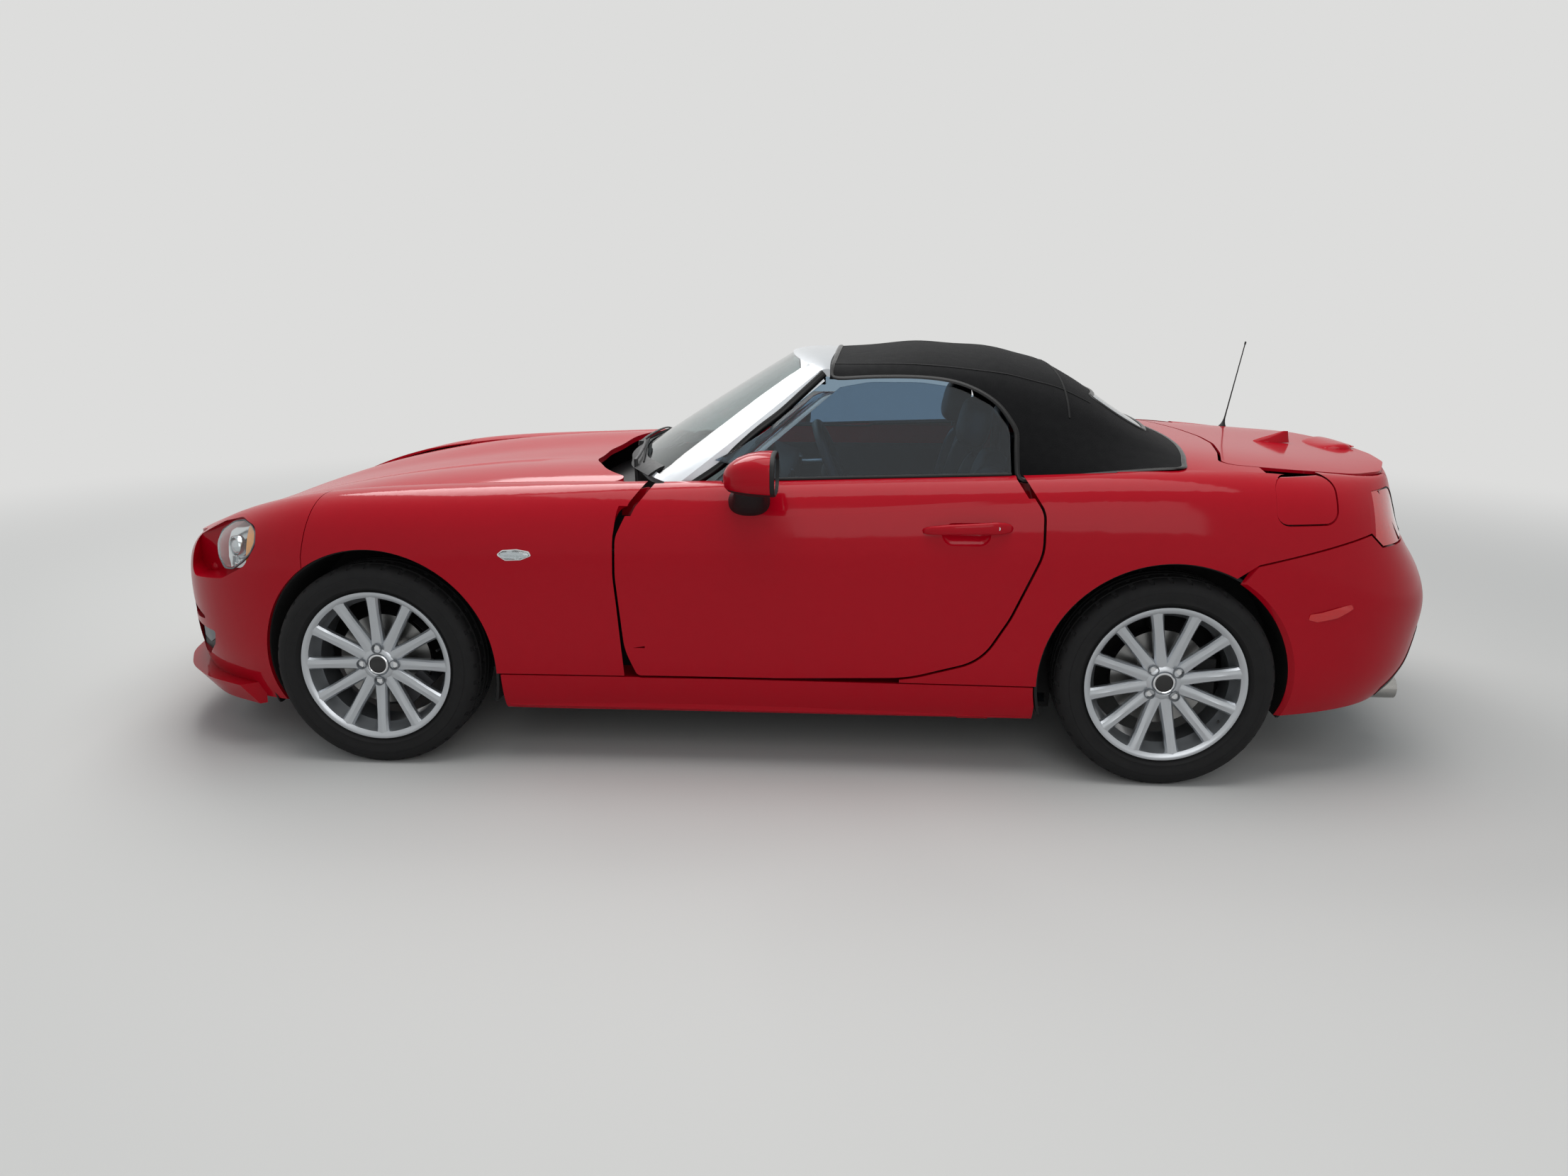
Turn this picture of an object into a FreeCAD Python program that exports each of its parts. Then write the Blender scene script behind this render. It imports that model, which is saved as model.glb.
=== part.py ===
import FreeCAD, Part
import math
import os

V = FreeCAD.Vector

# Layout in millimetres: nose at -X, tail at +X, left side at -Y, ground at z = 0
WHEELBASE = 2310.0
FRONT_AXLE = -WHEELBASE / 2
REAR_AXLE = WHEELBASE / 2
TRACK_FRONT = 1495.0
TRACK_REAR = 1505.0
AXLE_HEIGHT = 308.0

# Tyre 205/45 R17 and rim 17 x 7
TYRE_RADIUS = AXLE_HEIGHT
TYRE_WIDTH = 205.0
RIM_RADIUS = 216.0
RIM_WIDTH = 178.0
RIM_LIP_RADIUS = 228.0
RIM_LIP_WIDTH = 10.0
HUB_RADIUS = 74.0
HUB_BORE_RADIUS = 27.1
LUG_COUNT = 4
LUG_CIRCLE = 100.0
LUG_HOLE_RADIUS = 7.0
SPOKE_COUNT = 12
SPOKE_WIDTH_HUB = 30.0
SPOKE_WIDTH_RIM = 21.0
MOUNT_FACE = 45.0

# Brakes
DISC_RADIUS_FRONT = 140.0
DISC_RADIUS_REAR = 140.0
DISC_THICKNESS = 20.0

# Skin and gaps
SKIN = 12.0
LID_SKIN = 18.0
SEAM = 5.5
DOOR_SEAM = 7.5
SEAT_GAP = 0.3
EDGE_STEP = 14.0
LID_EDGE = 9.0

# Wheel arches
ARCH_RADIUS = 362.0
FRONT_ARCH_X = -1148.0
REAR_ARCH_X = 1152.0
ARCH_Z = 306.0

NODES = {}


def box(x0, x1, y0, y1, z0, z1):
    return Part.makeBox(x1 - x0, y1 - y0, z1 - z0, V(x0, y0, z0))


def rod_y(x, z, radius, y0, y1):
    return Part.makeCylinder(radius, y1 - y0, V(x, y0, z), V(0, 1, 0))


def rod(start, end, radius):
    span = end - start
    return Part.makeCylinder(radius, span.Length, start, span)


def mirrored(shape):
    return shape.mirror(V(0, 0, 0), V(0, 1, 0))


def pair(shape):
    return [shape, mirrored(shape)]


def rounded_face(corners, place):
    """Face inside a polygon of (a, b, corner radius) rows, put in space by place(a, b)."""
    count = len(corners)
    joints = []
    for index in range(count):
        before = corners[index - 1]
        here = corners[index]
        after = corners[(index + 1) % count]
        radius = here[2]
        ua = before[0] - here[0]
        ub = before[1] - here[1]
        wa = after[0] - here[0]
        wb = after[1] - here[1]
        lu = math.hypot(ua, ub)
        lw = math.hypot(wa, wb)
        ua, ub, wa, wb = ua / lu, ub / lu, wa / lw, wb / lw
        if radius <= 0 or ua * wa + ub * wb < -0.99999:
            point = place(here[0], here[1])
            joints.append((point, None, point))
            continue
        half = math.acos(max(-1.0, min(1.0, ua * wa + ub * wb))) / 2
        reach = min(radius / math.tan(half), 0.48 * lu, 0.48 * lw)
        radius = reach * math.tan(half)
        ba = ua + wa
        bb = ub + wb
        lb = math.hypot(ba, bb)
        middle = radius / math.sin(half) - radius
        joints.append((
            place(here[0] + ua * reach, here[1] + ub * reach),
            place(here[0] + ba / lb * middle, here[1] + bb / lb * middle),
            place(here[0] + wa * reach, here[1] + wb * reach),
        ))
    edges = []
    for index in range(count):
        start, middle, end = joints[index]
        following = joints[(index + 1) % count][0]
        if middle is not None:
            edges.append(Part.Arc(start, middle, end).toShape())
        if (following - end).Length > 0.001:
            edges.append(Part.makeLine(end, following))
    return Part.Face(Part.Wire(edges))


def side_prism(corners, y0, y1):
    """Prism across the car from an outline of (x, z, radius) rows."""
    return rounded_face(corners, lambda a, b: V(a, y0, b)).extrude(V(0, y1 - y0, 0))


def plan_prism(corners, z0, z1):
    """Upright prism from an outline of (x, y, radius) rows."""
    return rounded_face(corners, lambda a, b: V(a, b, z0)).extrude(V(0, 0, z1 - z0))


def end_prism(corners, x0, x1):
    """Prism along the car from an outline of (y, z, radius) rows."""
    return rounded_face(corners, lambda a, b: V(x0, a, b)).extrude(V(x1 - x0, 0, 0))


def strap(points, width, y0, y1):
    """Flat bar of even width along (x, z) points, rounded at each point."""
    bar = rod_y(points[0][0], points[0][1], width / 2 + 3, y0, y1)
    for (x0, z0), (x1, z1) in zip(points, points[1:]):
        length = math.hypot(x1 - x0, z1 - z0)
        across = (-(z1 - z0) / length * width / 2, (x1 - x0) / length * width / 2)
        leg = side_prism([
            (x0 + across[0], z0 + across[1], 0), (x1 + across[0], z1 + across[1], 0),
            (x1 - across[0], z1 - across[1], 0), (x0 - across[0], z0 - across[1], 0),
        ], y0, y1)
        bar = bar.fuse(leg).fuse(rod_y(x1, z1, width / 2, y0, y1))
    return bar


def grown(corners, amount):
    """The same outline moved out by an amount (in when negative), radii following."""
    count = len(corners)
    area = 0.0
    for index in range(count):
        a0, b0 = corners[index][0], corners[index][1]
        a1, b1 = corners[(index + 1) % count][0], corners[(index + 1) % count][1]
        area += a0 * b1 - a1 * b0
    turn = 1.0 if area > 0 else -1.0
    result = []
    for index in range(count):
        before = corners[index - 1]
        here = corners[index]
        after = corners[(index + 1) % count]
        da = here[0] - before[0]
        db = here[1] - before[1]
        ea = after[0] - here[0]
        eb = after[1] - here[1]
        ld = math.hypot(da, db)
        le = math.hypot(ea, eb)
        n1 = (turn * db / ld, -turn * da / ld)
        n2 = (turn * eb / le, -turn * ea / le)
        share = 1.0 + n1[0] * n2[0] + n1[1] * n2[1]
        a = here[0] + amount * (n1[0] + n2[0]) / share
        b = here[1] + amount * (n1[1] + n2[1]) / share
        convex = turn * (da * eb - db * ea) > 0
        radius = here[2] + (amount if convex else -amount)
        result.append((a, b, max(radius, 0.0) if here[2] > 0 else 0.0))
    return result


def spacing(lines):
    """Mean share of the length at which each point of the lines stands, 0 to 1."""
    shares = [0.0] * len(lines[0])
    for line in lines:
        run = [0.0]
        for start, end in zip(line, line[1:]):
            run.append(run[-1] + (end - start).Length)
        for index, value in enumerate(run):
            shares[index] += value / run[-1] / len(lines)
    return shares


def knots_for(shares):
    """Cubic knots at the running means of three shares, ends clamped."""
    inner = [sum(shares[index:index + 3]) / 3 for index in range(1, len(shares) - 3)]
    return [0.0] + inner + [1.0], [4] + [1] * len(inner) + [4]


def surface_face(rows, rounds=6):
    """Smooth cubic face close to every point of a table of rows."""
    u_shares = spacing([[row[index] for row in rows] for index in range(len(rows[0]))])
    v_shares = spacing(rows)
    u_knots, u_mults = knots_for(u_shares)
    v_knots, v_mults = knots_for(v_shares)
    poles = [list(row) for row in rows]
    surface = Part.BSplineSurface()
    for _ in range(rounds):
        surface.buildFromPolesMultsKnots(poles, u_mults, v_mults, u_knots, v_knots, False, False, 3, 3)
        for i, u in enumerate(u_shares):
            for j, v in enumerate(v_shares):
                poles[i][j] = poles[i][j] + (rows[i][j] - surface.value(u, v)) * 0.9
    surface.buildFromPolesMultsKnots(poles, u_mults, v_mults, u_knots, v_knots, False, False, 3, 3)
    return surface.toShape()


def thick(face, block, offset):
    """Part of a face inside a block, thickened along an offset."""
    cut = face.common(block)
    solids = [piece.extrude(offset) for piece in cut.Faces]
    result = solids[0]
    for other in solids[1:]:
        result = result.fuse(other)
    return result


def solids_of(shape):
    return [solid for solid in shape.Solids if solid.Volume > 20.0]


def save(node, shapes):
    pieces = []
    for shape in shapes:
        pieces.extend(solids_of(shape))
    NODES[node] = pieces


# Body side surface
# One row per station round the left half, nose centre to tail centre.
# x, y of the widest line, then (inset, height) of the rails:
# hem, low, middle, wide, shoulder, brow, crown, inner
SIDE_STATIONS = [
    (-2036, 0, (58, 158), (17, 262), (2, 400), (0, 480), (10, 545), (30, 582), (60, 606), (104, 625)),
    (-2016, -200, (58, 158), (17, 262), (2, 400), (0, 480), (10, 546), (30, 584), (60, 609), (105, 628)),
    (-1958, -385, (56, 158), (15, 262), (2, 400), (0, 486), (10, 556), (30, 598), (62, 626), (110, 648)),
    (-1878, -540, (56, 158), (15, 264), (2, 400), (0, 498), (10, 576), (34, 624), (72, 657), (130, 683)),
    (-1770, -664, (56, 160), (15, 266), (2, 400), (0, 515), (11, 603), (40, 658), (88, 697), (165, 724)),
    (-1625, -758, (54, 164), (16, 270), (3, 402), (0, 538), (11, 636), (43, 696), (98, 737), (200, 761)),
    (-1440, -824, (52, 170), (16, 275), (4, 412), (0, 562), (10, 668), (42, 735), (102, 778), (228, 789)),
    (-1155, -860, (54, 190), (18, 280), (5, 430), (0, 600), (8, 700), (36, 765), (98, 810), (258, 814)),
    (-800, -862, (58, 186), (20, 284), (6, 440), (0, 618), (6, 710), (32, 778), (92, 825), (250, 831)),
    (-400, -857, (60, 184), (22, 285), (8, 440), (0, 622), (5, 715), (28, 789), (78, 838), (200, 845)),
    (0, -857, (60, 185), (22, 285), (9, 440), (0, 624), (3, 717), (23, 798), (63, 850), (150, 858)),
    (400, -862, (60, 188), (22, 286), (9, 440), (0, 626), (3, 722), (22, 806), (62, 862), (148, 871)),
    (780, -868, (58, 192), (20, 288), (8, 440), (0, 630), (3, 730), (20, 816), (62, 873), (150, 885)),
    (1155, -870, (58, 196), (20, 292), (7, 440), (0, 630), (4, 738), (24, 828), (72, 885), (180, 902)),
    (1420, -858, (58, 202), (20, 296), (6, 438), (0, 622), (6, 736), (30, 828), (84, 883), (200, 903)),
    (1640, -822, (62, 212), (22, 302), (5, 432), (0, 600), (14, 712), (40, 808), (94, 868), (200, 890)),
    (1800, -755, (68, 222), (23, 308), (4, 426), (0, 575), (28, 680), (62, 770), (100, 846), (170, 878)),
    (1915, -640, (76, 228), (23, 310), (2, 424), (0, 552), (42, 655), (86, 735), (110, 826), (150, 876)),
    (1982, -460, (84, 230), (23, 308), (1, 426), (2, 548), (48, 650), (98, 716), (120, 808), (134, 882)),
    (2015, -230, (92, 230), (22, 306), (0, 428), (5, 550), (50, 650), (102, 710), (122, 802), (118, 888)),
    (2024, 0, (96, 230), (22, 305), (0, 430), (6, 550), (50, 650), (102, 710), (122, 800), (114, 890)),
]


def side_rows():
    count = len(SIDE_STATIONS)
    rows = []
    for index, station in enumerate(SIDE_STATIONS):
        before = SIDE_STATIONS[max(index - 1, 0)]
        after = SIDE_STATIONS[min(index + 1, count - 1)]
        along = V(after[0] - before[0], after[1] - before[1], 0)
        if index == 0 or index == count - 1:
            along = V(0, -1 if index == 0 else 1, 0)
        along.normalize()
        inward = V(-along.y, along.x, 0)
        row = []
        for inset, height in station[2:]:
            row.append(V(station[0] + inward.x * inset, station[1] + inward.y * inset, height))
        rows.append(row)
    return rows


SIDE_ROWS = side_rows()
SIDE = surface_face(SIDE_ROWS)
SIDE_IN = V(0, SKIN, -SKIN)
BUMPER_IN_FRONT = V(SKIN * 1.2, SKIN, -SKIN * 0.4)
BUMPER_IN_REAR = V(-SKIN * 1.2, SKIN, -SKIN * 0.2)
SEAT_SHARE = 1 + SEAT_GAP / SKIN


def outside_of(face, offset):
    """Space taken by a skin and everything outside it, with the seat gap."""
    moved = face.copy()
    moved.translate(offset * SEAT_SHARE)
    return moved.extrude(offset * -12.0)


SIDE_OUT = outside_of(SIDE.common(box(-1560, 1760, -1000, -500, 100, 960)).Faces[0], SIDE_IN)
FRONT_OUT = outside_of(SIDE.common(box(-2100, -1340, -1000, 50, 100, 900)).Faces[0], BUMPER_IN_FRONT)
REAR_OUT = outside_of(SIDE.common(box(1340, 2100, -1000, 50, 100, 740)).Faces[0], BUMPER_IN_REAR)

# Hood
# x station, half width of the shut line, height at centre, valley, ridge, outer, shut line
HOOD_STATIONS = [
    (-2005, 590, 560, 560, 558, 540, 500),
    (-1925, 592, 621, 621, 622, 606, 570),
    (-1800, 596, 672, 672, 676, 668, 640),
    (-1650, 600, 714, 714, 722, 722, 706),
    (-1500, 604, 748, 748, 758, 762, 753),
    (-1350, 608, 776, 776, 788, 792, 786),
    (-1150, 614, 806, 806, 820, 823, 812),
    (-950, 626, 829, 829, 842, 843, 827),
    (-750, 640, 845, 845, 856, 855, 836),
    (-550, 656, 856, 856, 864, 862, 842),
    (-330, 680, 864, 864, 869, 867, 848),
]
HOOD_SHARES = (0.0, 0.22, 0.52, 0.80, 1.0)


def hood_rows():
    rows = []
    for x, width, centre, valley, ridge, outer, edge in HOOD_STATIONS:
        heights = (centre, valley, ridge, outer, edge)
        row = []
        for share, height in reversed(list(zip(HOOD_SHARES[1:], heights[1:]))):
            row.append(V(x, -width * share, height))
        row.append(V(x, 0, centre))
        for share, height in zip(HOOD_SHARES[1:], heights[1:]):
            row.append(V(x, width * share, height))
        rows.append(row)
    return rows


HOOD_SURFACE = surface_face(hood_rows())

# Shut line in plan, left half from the nose to the rear corner: x, half width, radius
HOOD_SHUT = [
    (-1972, 0, 0),
    (-1962, 190, 500),
    (-1915, 380, 500),
    (-1845, 500, 400),
    (-1700, 572, 500),
    (-1500, 596, 900),
    (-1150, 612, 1500),
    (-720, 640, 1500),
    (-385, 668, 30),
    (-500, 548, 300),
    (-582, 330, 500),
    (-606, 0, 0),
]


def both_halves(rows):
    """Closed plan outline from its left half, first and last rows on the centre line."""
    left = [(x, -y, radius) for x, y, radius in rows]
    right = [(x, y, radius) for x, y, radius in rows[1:-1]]
    left[0] = (rows[0][0], 0.0, 600.0)
    left[-1] = (rows[-1][0], 0.0, 600.0)
    return left + right[::-1]


HOOD_OUTLINE = both_halves(HOOD_SHUT)
hood_block = plan_prism(HOOD_OUTLINE, 400, 1000)
hood_keep_out = plan_prism(grown(HOOD_OUTLINE, SEAM), 400, 1000)
hood = thick(HOOD_SURFACE, hood_block, V(0, 0, -LID_SKIN))

# Hood hinges: ears under the rear corners turn on pins of the inner wings
HOOD_HINGE = (-442.0, 805.0)
HOOD_EAR_Y = (-645.0, -635.0)
HINGE_PIN = 6.0
HINGE_BORE = HINGE_PIN + SEAT_GAP
ear = box(HOOD_HINGE[0] - 15, HOOD_HINGE[0] + 15, HOOD_EAR_Y[0], HOOD_EAR_Y[1], HOOD_HINGE[1] - 14, 842)
ear = ear.cut(rod_y(HOOD_HINGE[0], HOOD_HINGE[1], HINGE_BORE, HOOD_EAR_Y[0] - 1, HOOD_EAR_Y[1] + 1))
hood = hood.multiFuse(pair(ear))
save("hood", [hood])

# Rear deck and lid
# x station, half width, height at centre, middle, outer, edge
DECK_STATIONS = [
    (1120, 740, 946, 944, 930, 903),
    (1300, 722, 930, 929, 920, 901),
    (1450, 700, 917, 917, 910, 896),
    (1600, 670, 906, 906, 901, 890),
    (1740, 640, 898, 898, 893, 883),
    (1830, 615, 895, 895, 890, 879),
    (1900, 590, 894, 893, 889, 878),
    (1960, 560, 892, 891, 887, 876),
]
DECK_SHARES = (0.0, 0.4, 0.78, 1.0)


def deck_rows():
    rows = []
    for x, width, centre, middle, outer, edge in DECK_STATIONS:
        heights = (centre, middle, outer, edge)
        row = [V(x, -width * s, h) for s, h in reversed(list(zip(DECK_SHARES, heights)))]
        row += [V(x, width * s, h) for s, h in list(zip(DECK_SHARES, heights))[1:]]
        rows.append(row)
    return rows


DECK_SURFACE = surface_face(deck_rows())

# Lid shut line in plan, left half: x, half width, radius
LID_SHUT = [
    (1428, 0, 0),
    (1412, 210, 500),
    (1362, 460, 300),
    (1318, 628, 40),
    (1500, 640, 900),
    (1690, 634, 100),
    (1795, 560, 100),
    (1866, 400, 200),
    (1902, 210, 400),
    (1912, 0, 0),
]
LID_OUTLINE = both_halves(LID_SHUT)
LID_BOTTOM = 704.0
LID_TAIL_HALF = 540.0
lid_block = plan_prism(LID_OUTLINE, 690, 1000)
lid_keep_out = plan_prism(grown(LID_OUTLINE, SEAM), 690 - SEAM, 1000)
front_room = lid_keep_out.copy()
front_room.translate(V(-4, 0, 0))
lid_keep_out = lid_keep_out.fuse(front_room)
trunk_lid = thick(DECK_SURFACE, lid_block, V(0, 0, -LID_EDGE))
above_lid = DECK_SURFACE.copy()
above_lid.translate(V(0, 0, -LID_EDGE / 2))
above_lid = above_lid.extrude(V(0, 0, 100))
tail_face = SIDE.common(box(1780, 2100, -LID_TAIL_HALF, 50, LID_BOTTOM, 960))
tail_skin = tail_face.Faces[0].extrude(V(-SKIN * 1.2, 0, 0))
tail_skin = tail_skin.common(box(1700, 2100, -LID_TAIL_HALF, 0, LID_BOTTOM, 960)).cut(above_lid)
trunk_lid = trunk_lid.fuse(tail_skin).fuse(mirrored(tail_skin))

# Swan-neck arms: from the pin under the deck, down round its edge and up to the lid
LID_HINGE = (1262.0, 882.0)
LID_ARM_Y = (-566.0, -554.0)
LID_ARM = [LID_HINGE, (1296, 790), (1470, 893)]
LID_ARM_WIDTH = 18.0
lid_arm = strap(LID_ARM, LID_ARM_WIDTH, LID_ARM_Y[0], LID_ARM_Y[1])
lid_arm = lid_arm.cut(rod_y(LID_HINGE[0], LID_HINGE[1], HINGE_BORE, LID_ARM_Y[0] - 1, LID_ARM_Y[1] + 1))
trunk_lid = trunk_lid.multiFuse(pair(lid_arm))
save("trunk_lid", [trunk_lid])

# Doors
DOOR_OUTLINE = [
    (-296, 900, 10),
    (-372, 806, 60),
    (-416, 715, 80),
    (-419, 600, 300),
    (-400, 380, 200),
    (-366, 298, 18),
    (60, 300, 900),
    (420, 312, 400),
    (628, 372, 150),
    (704, 500, 260),
    (786, 690, 150),
    (786, 800, 60),
    (722, 900, 10),
]
door_block = side_prism(DOOR_OUTLINE, -1000, -500)
door_keep_out = side_prism(grown(DOOR_OUTLINE, DOOR_SEAM), -1000, -700)
side_mass = thick(SIDE, box(-700, 1100, -1000, -500, 100, 960), V(0, 150, -150))
BELT_INNER = -728.0

# Hinge pins stand across slots at the front edge, held by brackets of the body
DOOR_HINGE = (-385.0, -830.0)
DOOR_HINGE_HEIGHTS = (400.0, 650.0)
SLOT_HALF = 15.0
slots = []
for h in DOOR_HINGE_HEIGHTS:
    slot = box(-500, -340, -846, -700, h - SLOT_HALF, h + SLOT_HALF)
    slots.append(slot.cut(Part.makeCylinder(HINGE_PIN, 60, V(DOOR_HINGE[0], DOOR_HINGE[1], h - 30))))
door_skin_part = side_mass.common(side_prism(DOOR_OUTLINE, -1000, -836))
DOOR_INNER_OUTLINE = grown(DOOR_OUTLINE, -EDGE_STEP)
door_inner_part = side_mass.common(side_prism(DOOR_INNER_OUTLINE, -842, BELT_INNER - 20))
belt_part = side_mass.common(door_block).common(box(-290, 716, -842, BELT_INNER, 780, 960))
for slot in slots:
    door_skin_part = door_skin_part.cut(slot)
    door_inner_part = door_inner_part.cut(slot)
door = door_skin_part.fuse(door_inner_part).fuse(belt_part)

# Door glass, a flat pane leaning in
GLASS_BELT_Y = -742.0
GLASS_LEAN = 0.5
GLASS_THICKNESS = 5.0
GLASS_BELT_Z = 852.0
DOOR_GLASS_OUTLINE = [
    (-132, 838, 5),
    (214, 1122, 14),
    (300, 1137, 200),
    (450, 1137, 400),
    (560, 1122, 200),
    (660, 1070, 80),
    (704, 1010, 60),
    (708, 845, 5),
]


def glass_place(a, b):
    return V(a, GLASS_BELT_Y + (b - GLASS_BELT_Z) * GLASS_LEAN, b)


door_glass = rounded_face(DOOR_GLASS_OUTLINE, glass_place).extrude(V(0, GLASS_THICKNESS, 0))
door = door.cut(door_glass)

# Bowl behind the handle: a capsule lying along the skin, its middle outside it
BOWL_RADIUS = 39.0
BOWL_LENGTH = 70.0
BOWL_PLACE = V(540, -881, 742)
BOWL_END = BOWL_PLACE + V(BOWL_LENGTH, 0, 0)
bowl = rod(BOWL_PLACE, BOWL_END, BOWL_RADIUS)
bowl = bowl.fuse(Part.makeSphere(BOWL_RADIUS, BOWL_PLACE)).fuse(Part.makeSphere(BOWL_RADIUS, BOWL_END))
door = door.cut(bowl)

save("door_left", [door])
save("door_right", [mirrored(door)])
save("door_glass_left", [door_glass])
save("door_glass_right", [mirrored(door_glass)])

# Mirrors on the doors: housing over a foot at the front of the window
housing_rows = (
    (-96, 60, 30),
    (-60, 86, 48),
    (-10, 96, 56),
    (40, 92, 54),
)
wires = []
for x, half_y, half_z in housing_rows:
    ellipse = Part.Ellipse(V(x, -925 - half_y, 918), V(x, -925, 918 + half_z), V(x, -925, 918))
    wires.append(Part.Wire(ellipse.toShape()))
housing = Part.makeLoft(wires, True)
foot = side_prism([(-100, 836, 4), (-40, 905, 10), (20, 905, 8), (10, 836, 4)], -880, -756)
mirror = housing.fuse(foot).cut(door)
save("mirror_left", [mirror])
save("mirror_right", [mirrored(mirror)])

# Front wings
side_skin = thick(SIDE, box(-1420, 1720, -1000, -500, 100, 960), SIDE_IN)
front_arch = rod_y(FRONT_ARCH_X, ARCH_Z, ARCH_RADIUS, -1000, -400)
rear_arch = rod_y(REAR_ARCH_X, ARCH_Z, ARCH_RADIUS, -1000, -400)
SILL_TOP = 292.0
WING_OUTLINE = [
    (-1322, 900, 0),
    (-1322, 820, 0),
    (-1352, 640, 0),
    (-1352, SILL_TOP + 4, 0),
    (-300, SILL_TOP + 4, 0),
    (-250, 900, 0),
]
wing = side_skin.common(side_prism(WING_OUTLINE, -1000, -500))
wing = wing.cut(front_arch).cut(door_keep_out).cut(hood_keep_out)
wing = wing.cut(box(-420, -200, -710, -500, 700, 1000))
wing = wing.cut(box(-444, -200, -669, -500, 700, 1000))

# Room for the door's front edge as it swings in: height, reach from the hinge line
EDGE_SWINGS = [(296, 21), (385, 30), (600, 48.4), (715, 44), (800, 24)]
for (z0, reach0), (z1, reach1) in zip(EDGE_SWINGS, EDGE_SWINGS[1:]):
    wing = wing.cut(Part.makeCone(reach0, reach1, z1 - z0, V(DOOR_HINGE[0], DOOR_HINGE[1], z0)))
wing = sorted(wing.Solids, key=lambda s: -s.Volume)[0]
save("front_wings", pair(wing))

# Sills
sill = side_skin.common(box(-775, 790, -1000, -600, 150, SILL_TOP))
sill = sill.cut(front_arch).cut(rear_arch).cut(door_keep_out)
sill = sill.fuse(box(-760, 780, -806, -700, 186, 284))
sill = sill.cut(rod_y(FRONT_ARCH_X, ARCH_Z, ARCH_RADIUS + 8, -1000, -600))
sill = sill.cut(rod_y(REAR_ARCH_X, ARCH_Z, ARCH_RADIUS + 8, -1000, -600))
JACK_PADS = (-620.0, 620.0)
JACK_PAD_BOTTOM = 168.0
for x in JACK_PADS:
    sill = sill.fuse(box(x - 45, x + 45, -774, -732, JACK_PAD_BOTTOM, 190))
save("sills", pair(sill))

# Rear quarters
QUARTER_OUTLINE = [
    (400, SILL_TOP + 4, 0),
    (820, SILL_TOP + 4, 0),
    (1376, 666, 0),
    (1700, 741, 0),
    (1700, 960, 0),
    (400, 960, 0),
]
quarter = side_skin.common(side_prism(QUARTER_OUTLINE, -1000, -500))
quarter = quarter.cut(rear_arch).cut(door_keep_out).cut(lid_keep_out)
quarter = quarter.cut(box(600, 1500, -752, -400, 700, 1000).cut(box(1000, 1500, -752, -728, 700, 1000)))
quarter = sorted(quarter.Solids, key=lambda s: -s.Volume)[0]

FUEL_DOOR = [
    (1414, 776, 34),
    (1588, 776, 34),
    (1592, 892, 34),
    (1418, 892, 34),
]
fuel_block = side_prism(FUEL_DOOR, -1000, -600)
fuel_seam = grown(FUEL_DOOR, SEAM)
fuel_seam[0] = (FUEL_DOOR[0][0] - SEAT_GAP, fuel_seam[0][1], fuel_seam[0][2])
fuel_seam[3] = (FUEL_DOOR[3][0] - SEAT_GAP, fuel_seam[3][1], fuel_seam[3][2])
fuel_hole = side_prism(fuel_seam, -1000, -600)
fuel_door = thick(SIDE, fuel_block, V(0, 9, 0))
save("fuel_door", [fuel_door])

# Side outline of the rear bumper
REAR_KEEP = [
    (1400, 180, 0),
    (2100, 180, 0),
    (2100, 704 - SEAM, 0),
    (1740, 704 - SEAM, 0),
    (1700, 741 - SEAM, 0),
    (1376, 666 - SEAM, 0),
    (1340, 600, 0),
]

# Tail corner with the lamp opening, wrapping from the side to the lid
TAIL_IN = V(-SKIN * 1.2, SKIN, -SKIN * 0.4)
TAIL_LAMP_OUTLINE = [
    (-556, 722, 20),
    (-790, 690, 30),
    (-806, 770, 40),
    (-742, 846, 30),
    (-596, 850, 30),
]
tail_lamp_block = end_prism(TAIL_LAMP_OUTLINE, 1716, 2100)
corner_face = SIDE.common(box(1700, 2100, -1000, -LID_TAIL_HALF - SEAM, 704, 960)).cut(lid_keep_out)
bumper_over = side_prism(grown(REAR_KEEP, SEAM), -1000, 50)
tail_corner = corner_face.cut(end_prism(grown(TAIL_LAMP_OUTLINE, 1.0), 1716, 2100)).extrude(TAIL_IN)
lid_tail_room = box(1700, 2100, -LID_TAIL_HALF - SEAM, 0, 690, 960)
tail_corner = tail_corner.cut(bumper_over).cut(lid_tail_room).cut(lid_keep_out)
tail_lamp = corner_face.common(tail_lamp_block).extrude(TAIL_IN * 2.0)
tail_lamp = tail_lamp.cut(bumper_over).cut(lid_tail_room).cut(lid_keep_out)
quarter_left = sorted(quarter.cut(fuel_hole).Solids, key=lambda s: -s.Volume)[0]
save("rear_quarters", [quarter_left, mirrored(quarter), tail_corner, mirrored(tail_corner)])
save("tail_lamps", pair(tail_lamp))

# Rear deck round the roof
deck_block = box(1150, 1420, -728, 728, 700, 1000)
deck = thick(DECK_SURFACE, deck_block, V(0, 0, -SKIN))
deck = deck.cut(lid_keep_out)
deck = sorted(deck.Solids, key=lambda s: -s.Volume)[0]
save("rear_deck", [deck])

# Bumpers
front_face_block = box(-2100, -1300, -1000, 0, 100, 900)
front_skin = thick(SIDE, front_face_block, BUMPER_IN_FRONT).common(box(-2100, -1300, -1000, 0, 100, 900))
FRONT_KEEP = [
    (-2100, 120, 0),
    (-1352 - SEAM / 2, 120, 0),
    (-1352 - SEAM / 2, 640, 0),
    (-1322 - SEAM / 2, 820, 0),
    (-1322 - SEAM / 2, 900, 0),
    (-2100, 900, 0),
]
front_skin = front_skin.common(side_prism(FRONT_KEEP, -1000, 0))
front_skin = front_skin.cut(front_arch).cut(hood_keep_out)

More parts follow.
